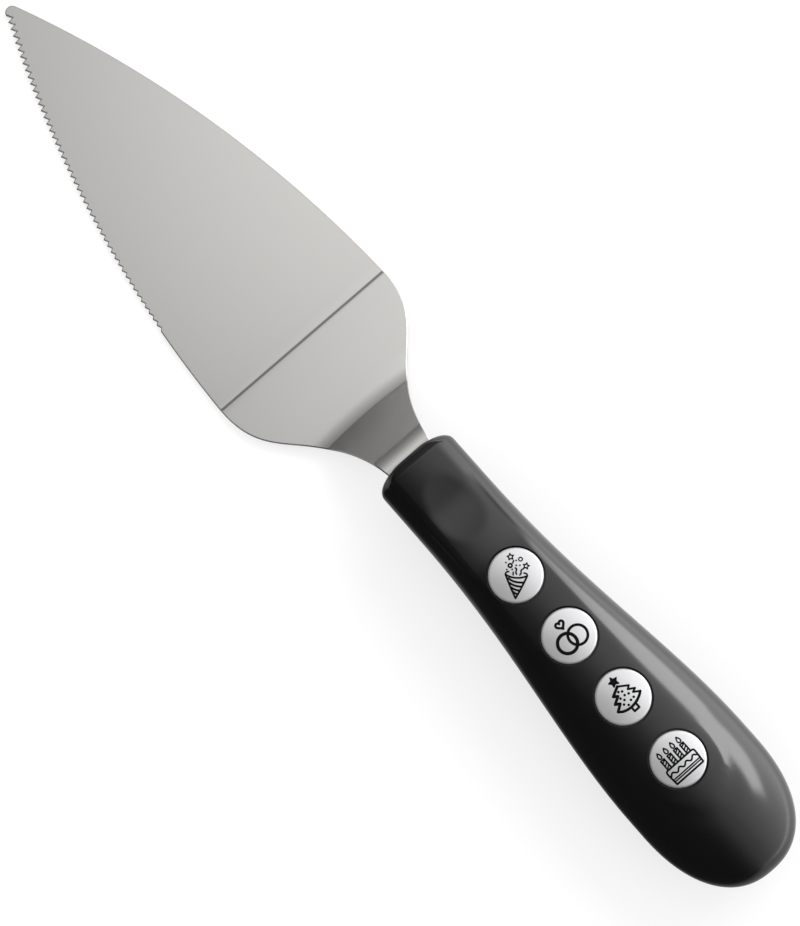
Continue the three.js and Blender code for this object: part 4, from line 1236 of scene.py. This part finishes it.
def carried_over():
    finishes = {
        "circuit_board": BOARD_GREEN, "melody_chip": EPOXY, "drive_transistor": EPOXY,
        "timing_resistor": CERAMIC, "battery_contact_plus": SPRING_STEEL,
        "battery_contact_minus": SPRING_STEEL, "speaker_gasket": FOAM, "speaker_frame": BLACK,
        "speaker_cone": PAPER, "speaker_magnet": MAGNET_STEEL, "battery_wire_red": RED,
        "battery_wire_black": BLACK, "speaker_wire_red": RED, "speaker_wire_black": BLACK,
    }
    for node, material in finishes.items():
        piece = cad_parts[node]
        piece.data.materials.clear()
        piece.data.materials.append(material)


# Studio: a pale floor and surround and a soft key lamp on the right. Two tents over the set, a long strip
# beside the handle and cards on the table stand only in reflections: bright on the right, dark on the left

# A piece of the set whose faces glow
def set_piece(name, corners, faces=((0, 1, 2, 3),)):
    mesh = bpy.data.meshes.new(name)
    mesh.from_pydata(corners, [], faces)
    piece = link(bpy.data.objects.new(name, mesh))
    material = bpy.data.materials.new(name)
    mesh.materials.append(material)
    material.use_nodes = True
    tree = material.node_tree
    tree.nodes.clear()
    glow = add(tree, "Emission", {"Color": (1, 1, 1, 1)})
    add(tree, "OutputMaterial", {"Surface": glow.outputs[0]})
    return piece, tree, glow


def square(half, height):
    return [(-half, -half, height), (half, -half, height), (half, half, height), (-half, half, height)]


def reflection_only(piece):
    for rays in ("camera", "diffuse", "transmission", "volume_scatter", "shadow"):
        setattr(piece, "visible_" + rays, False)


# Two shaders added or mixed as the surface
def cover(tree, kind, *inputs):
    shader = add(tree, kind, dict(enumerate(inputs)))
    tree.links.new(shader.outputs[0], tree.nodes["Material Output"].inputs["Surface"])


def clear(tree):
    return add(tree, "BsdfTransparent").outputs[0]


def ramp(tree, value, start, end, low=0.0, high=1.0, kind="SMOOTHSTEP"):
    reach = {"Value": value, "From Min": start, "From Max": end, "To Min": low, "To Max": high}
    return add(tree, "MapRange", reach, interpolation_type=kind).outputs[0]


# A level that follows a list of stops along a value
def levels(tree, value, stops):
    first = stops[0][0]
    last = stops[-1][0]
    peak = max(level for _, level in stops)
    curve = add(tree, "ValToRGB", {0: ramp(tree, value, first, last, kind="LINEAR")})
    elements = curve.color_ramp.elements
    for place, _ in stops[1:-1]:
        elements.new((place - first) / (last - first))
    for element, (_, level) in zip(elements, stops):
        element.color = (level / peak,) * 3 + (1,)
    return calc(tree, "MULTIPLY", curve.outputs[0], peak)


def calc(tree, operation, a, b):
    return add(tree, "Math", {0: a, 1: b}, operation=operation).outputs[0]


def product(tree, *values):
    result = values[0]
    for value in values[1:]:
        result = calc(tree, "MULTIPLY", result, value)
    return result


def object_place(tree):
    return add(tree, "TexCoord").outputs["Object"]


# 1 for what the camera, reflections and glass see, 0 for light that falls on things
def in_sight(tree):
    rays = add(tree, "LightPath").outputs
    seen = calc(tree, "MAXIMUM", rays["Is Camera Ray"], rays["Is Glossy Ray"])
    return calc(tree, "MAXIMUM", seen, rays["Is Transmission Ray"])


# White paper that keeps the shadow; what is seen of it is lifted a little, and it is clear from below
def floor():
    _, tree, glow = set_piece("floor", square(FLOOR_HALF, FLOOR_HEIGHT))
    tree.links.new(product(tree, in_sight(tree), FLOOR_LIFT), glow.inputs["Strength"])
    paper = add(tree, "BsdfDiffuse", {"Color": FLOOR_PAPER})
    both = add(tree, "AddShader", {0: paper.outputs[0], 1: glow.outputs[0]})
    below = add(tree, "NewGeometry").outputs["Backfacing"]
    cover(tree, "MixShader", below, both.outputs[0], clear(tree))


def surround():
    world = bpy.data.worlds.new("surround")
    bpy.context.scene.world = world
    world.use_nodes = True
    tree = world.node_tree
    paper = tree.nodes["Background"]
    paper.inputs["Color"].default_value = (1, 1, 1, 1)
    tree.links.new(ramp(tree, in_sight(tree), 0, 1, SURROUND, 1), paper.inputs["Strength"])


def key_lamp():
    data = bpy.data.lights.new("key", "AREA")
    data.shape = "RECTANGLE"
    data.size, data.size_y = KEY_SIZE
    data.energy = KEY_POWER
    item = link(bpy.data.objects.new("key", data))
    item.location = Vector(KEY_PLACE)
    item.rotation_euler = (-item.location).to_track_quat("-Z", "Y").to_euler()
    item.visible_glossy = False


# A dome over the set, with its level and the parts of a direction in it
def tent(name, radius):
    lifts = np.radians(np.arange(0, 90, 7.5))
    outline = [(radius * cos(lift), radius * sin(lift)) for lift in lifts]
    corners, faces = turned([(0, 0)] + outline + [(0, radius)], 0, 0, 48)
    piece, tree, glow = set_piece(name, corners.tolist(), [face for face in faces if 0 not in face])
    reflection_only(piece)
    aim = add(tree, "VectorMath", {0: object_place(tree)}, operation="NORMALIZE").outputs[0]
    x, y, z = add(tree, "SeparateXYZ", {0: aim}).outputs
    cloth = product(tree, levels(tree, y, CLOTH), ramp(tree, x, 0.0, 0.2, 1.0, 0.75))
    upright_share = calc(tree, "POWER", calc(tree, "SUBTRACT", 1.0, product(tree, y, y)), 0.5)
    height = calc(tree, "DIVIDE", z, upright_share)
    past_tip = product(tree, levels(tree, height, PAST_TIP), levels(tree, y, PAST_TIP_ACROSS))
    forward = ramp(tree, x, *AT_TIP)
    behind = ramp(tree, x, *AT_TIP[::-1])
    light = calc(tree, "ADD", product(tree, cloth, behind), product(tree, past_tip, forward))
    return piece, tree, glow, light, (x, y, z)


# Lets only the blade, or all but the blade, show a piece of the set
def link_blade(piece, state):
    receivers = bpy.data.collections.new(piece.name + "_receivers")
    receivers.objects.link(bpy.data.objects["blade_sheet"])
    receivers.collection_objects[0].light_linking.link_state = state
    piece.light_linking.receiver_collection = receivers


# The tent that the handle and buttons show; the blade sees through it
def handle_tent():
    piece, tree, glow, light, _ = tent("handle_tent", HANDLE_TENT)
    tree.links.new(light, glow.inputs["Strength"])
    cover(tree, "AddShader", clear(tree), glow.outputs[0])
    link_blade(piece, "EXCLUDE")


# The tent that the blade shows: the same ahead of the tip and low down, and an even grey elsewhere
def blade_tent():
    piece, tree, glow, light, (x, y, z) = tent("blade_tent", BLADE_TENT)
    ahead = product(tree, ramp(tree, x, -0.2, 0.0), ramp(tree, y, 0.55, 0.3), ramp(tree, y, -0.6, -0.35))
    lifted = calc(tree, "ADD", z, ramp(tree, y, -0.1, -0.3, 0.0, 0.25))
    behind = product(tree, ramp(tree, x, -0.45, -0.65), ramp(tree, z, 0.05, 0.25))
    aloft = calc(tree, "MAXIMUM", ramp(tree, lifted, 0.35, 0.65), behind)
    share = product(tree, calc(tree, "SUBTRACT", 1.0, ahead), aloft)
    change = product(tree, calc(tree, "SUBTRACT", BLADE_SURROUND, light), share)
    tree.links.new(calc(tree, "ADD", light, change), glow.inputs["Strength"])
    link_blade(piece, "INCLUDE")


# A soft-edged strip light upright beside the handle, between two places along and two heights
def strip_light():
    rear, front, low, high = STRIP_FRAME
    corners = [(x, STRIP_ACROSS, z) for x, z in ((rear, low), (front, low), (front, high), (rear, high))]
    piece, tree, glow = set_piece("strip_light", corners)
    reflection_only(piece)
    glow.inputs["Strength"].default_value = STRIP
    x, _, z = add(tree, "SeparateXYZ", {0: object_place(tree)}).outputs
    ends = product(tree, ramp(tree, x, *STRIP_REAR), ramp(tree, x, *STRIP_FRONT))
    leaning = calc(tree, "ADD", z, product(tree, x, STRIP_LEAN))
    edges = product(tree, ramp(tree, leaning, *STRIP_LOW), ramp(tree, z, *STRIP_HIGH))
    cover(tree, "MixShader", product(tree, ends, edges), clear(tree), glow.outputs[0])


def table_cards():
    piece, tree, glow = set_piece("table_cards", square(TABLE_HALF, FLOOR_HEIGHT / 2))
    reflection_only(piece)
    x, y, _ = add(tree, "SeparateXYZ", {0: object_place(tree)}).outputs
    beside = product(tree, levels(tree, y, TABLE), ramp(tree, x, -0.05, 0.02, 1.0, 0.68))
    forward = calc(tree, "SUBTRACT", x, product(tree, y, 0.2))
    by_blade = ramp(tree, forward, -0.02, 0.01, 0.0, TABLE_BY_BLADE)
    tree.links.new(calc(tree, "MAXIMUM", beside, by_blade), glow.inputs["Strength"])


def camera():
    back = unit(np.array((-tan(radians(LEAN_BACK)), tan(radians(LEAN_LEFT)), 1)))
    along = unit(np.array((1.0, 0, 0)) - back[0] * back)
    level = Matrix((along, np.cross(back, along), back)).transposed()
    rotation = level @ Matrix.Rotation(-radians(ROLL), 3, "Z")
    data = bpy.data.cameras.new("camera")
    data.sensor_width = SENSOR
    data.lens = SENSOR * FOCAL / PICTURE
    data.clip_start = 0.01
    item = link(bpy.data.objects.new("camera", data))
    place = (np.array(TARGET) + CAMERA_REACH * back) * MM
    item.matrix_world = Matrix.Translation(place) @ rotation.to_4x4()
    bpy.context.scene.camera = item


def build():
    blade()
    top_shell()
    bottom_shell()
    battery_door()
    for number in range(1, 5):
        screw("shell_screw_body_%d" % number, "shell_screw_%d" % number, SHELL_SCREW, "handle")
    screw("door_screw_body", "battery_door_screw", DOOR_SCREW, "door_screw")
    for number in (1, 2):
        screw("board_screw_body_%d" % number, "board_screw_%d" % number, BOARD_SCREW, "handle")
    prints = (popper_print(), rings_print(), tree_print(), cake_print())
    for name, shapes in zip(BUTTONS, prints):
        cap(name)
        plunger(name)
        printed(name, shapes)
        dome(name)
        pill(name)
    for number in (1, 2, 3):
        cell(number)
    carried_over()


build()
floor()
surround()
key_lamp()
handle_tent()
blade_tent()
strip_light()
table_cards()
camera()
bpy.context.scene.view_settings.view_transform = "Standard"
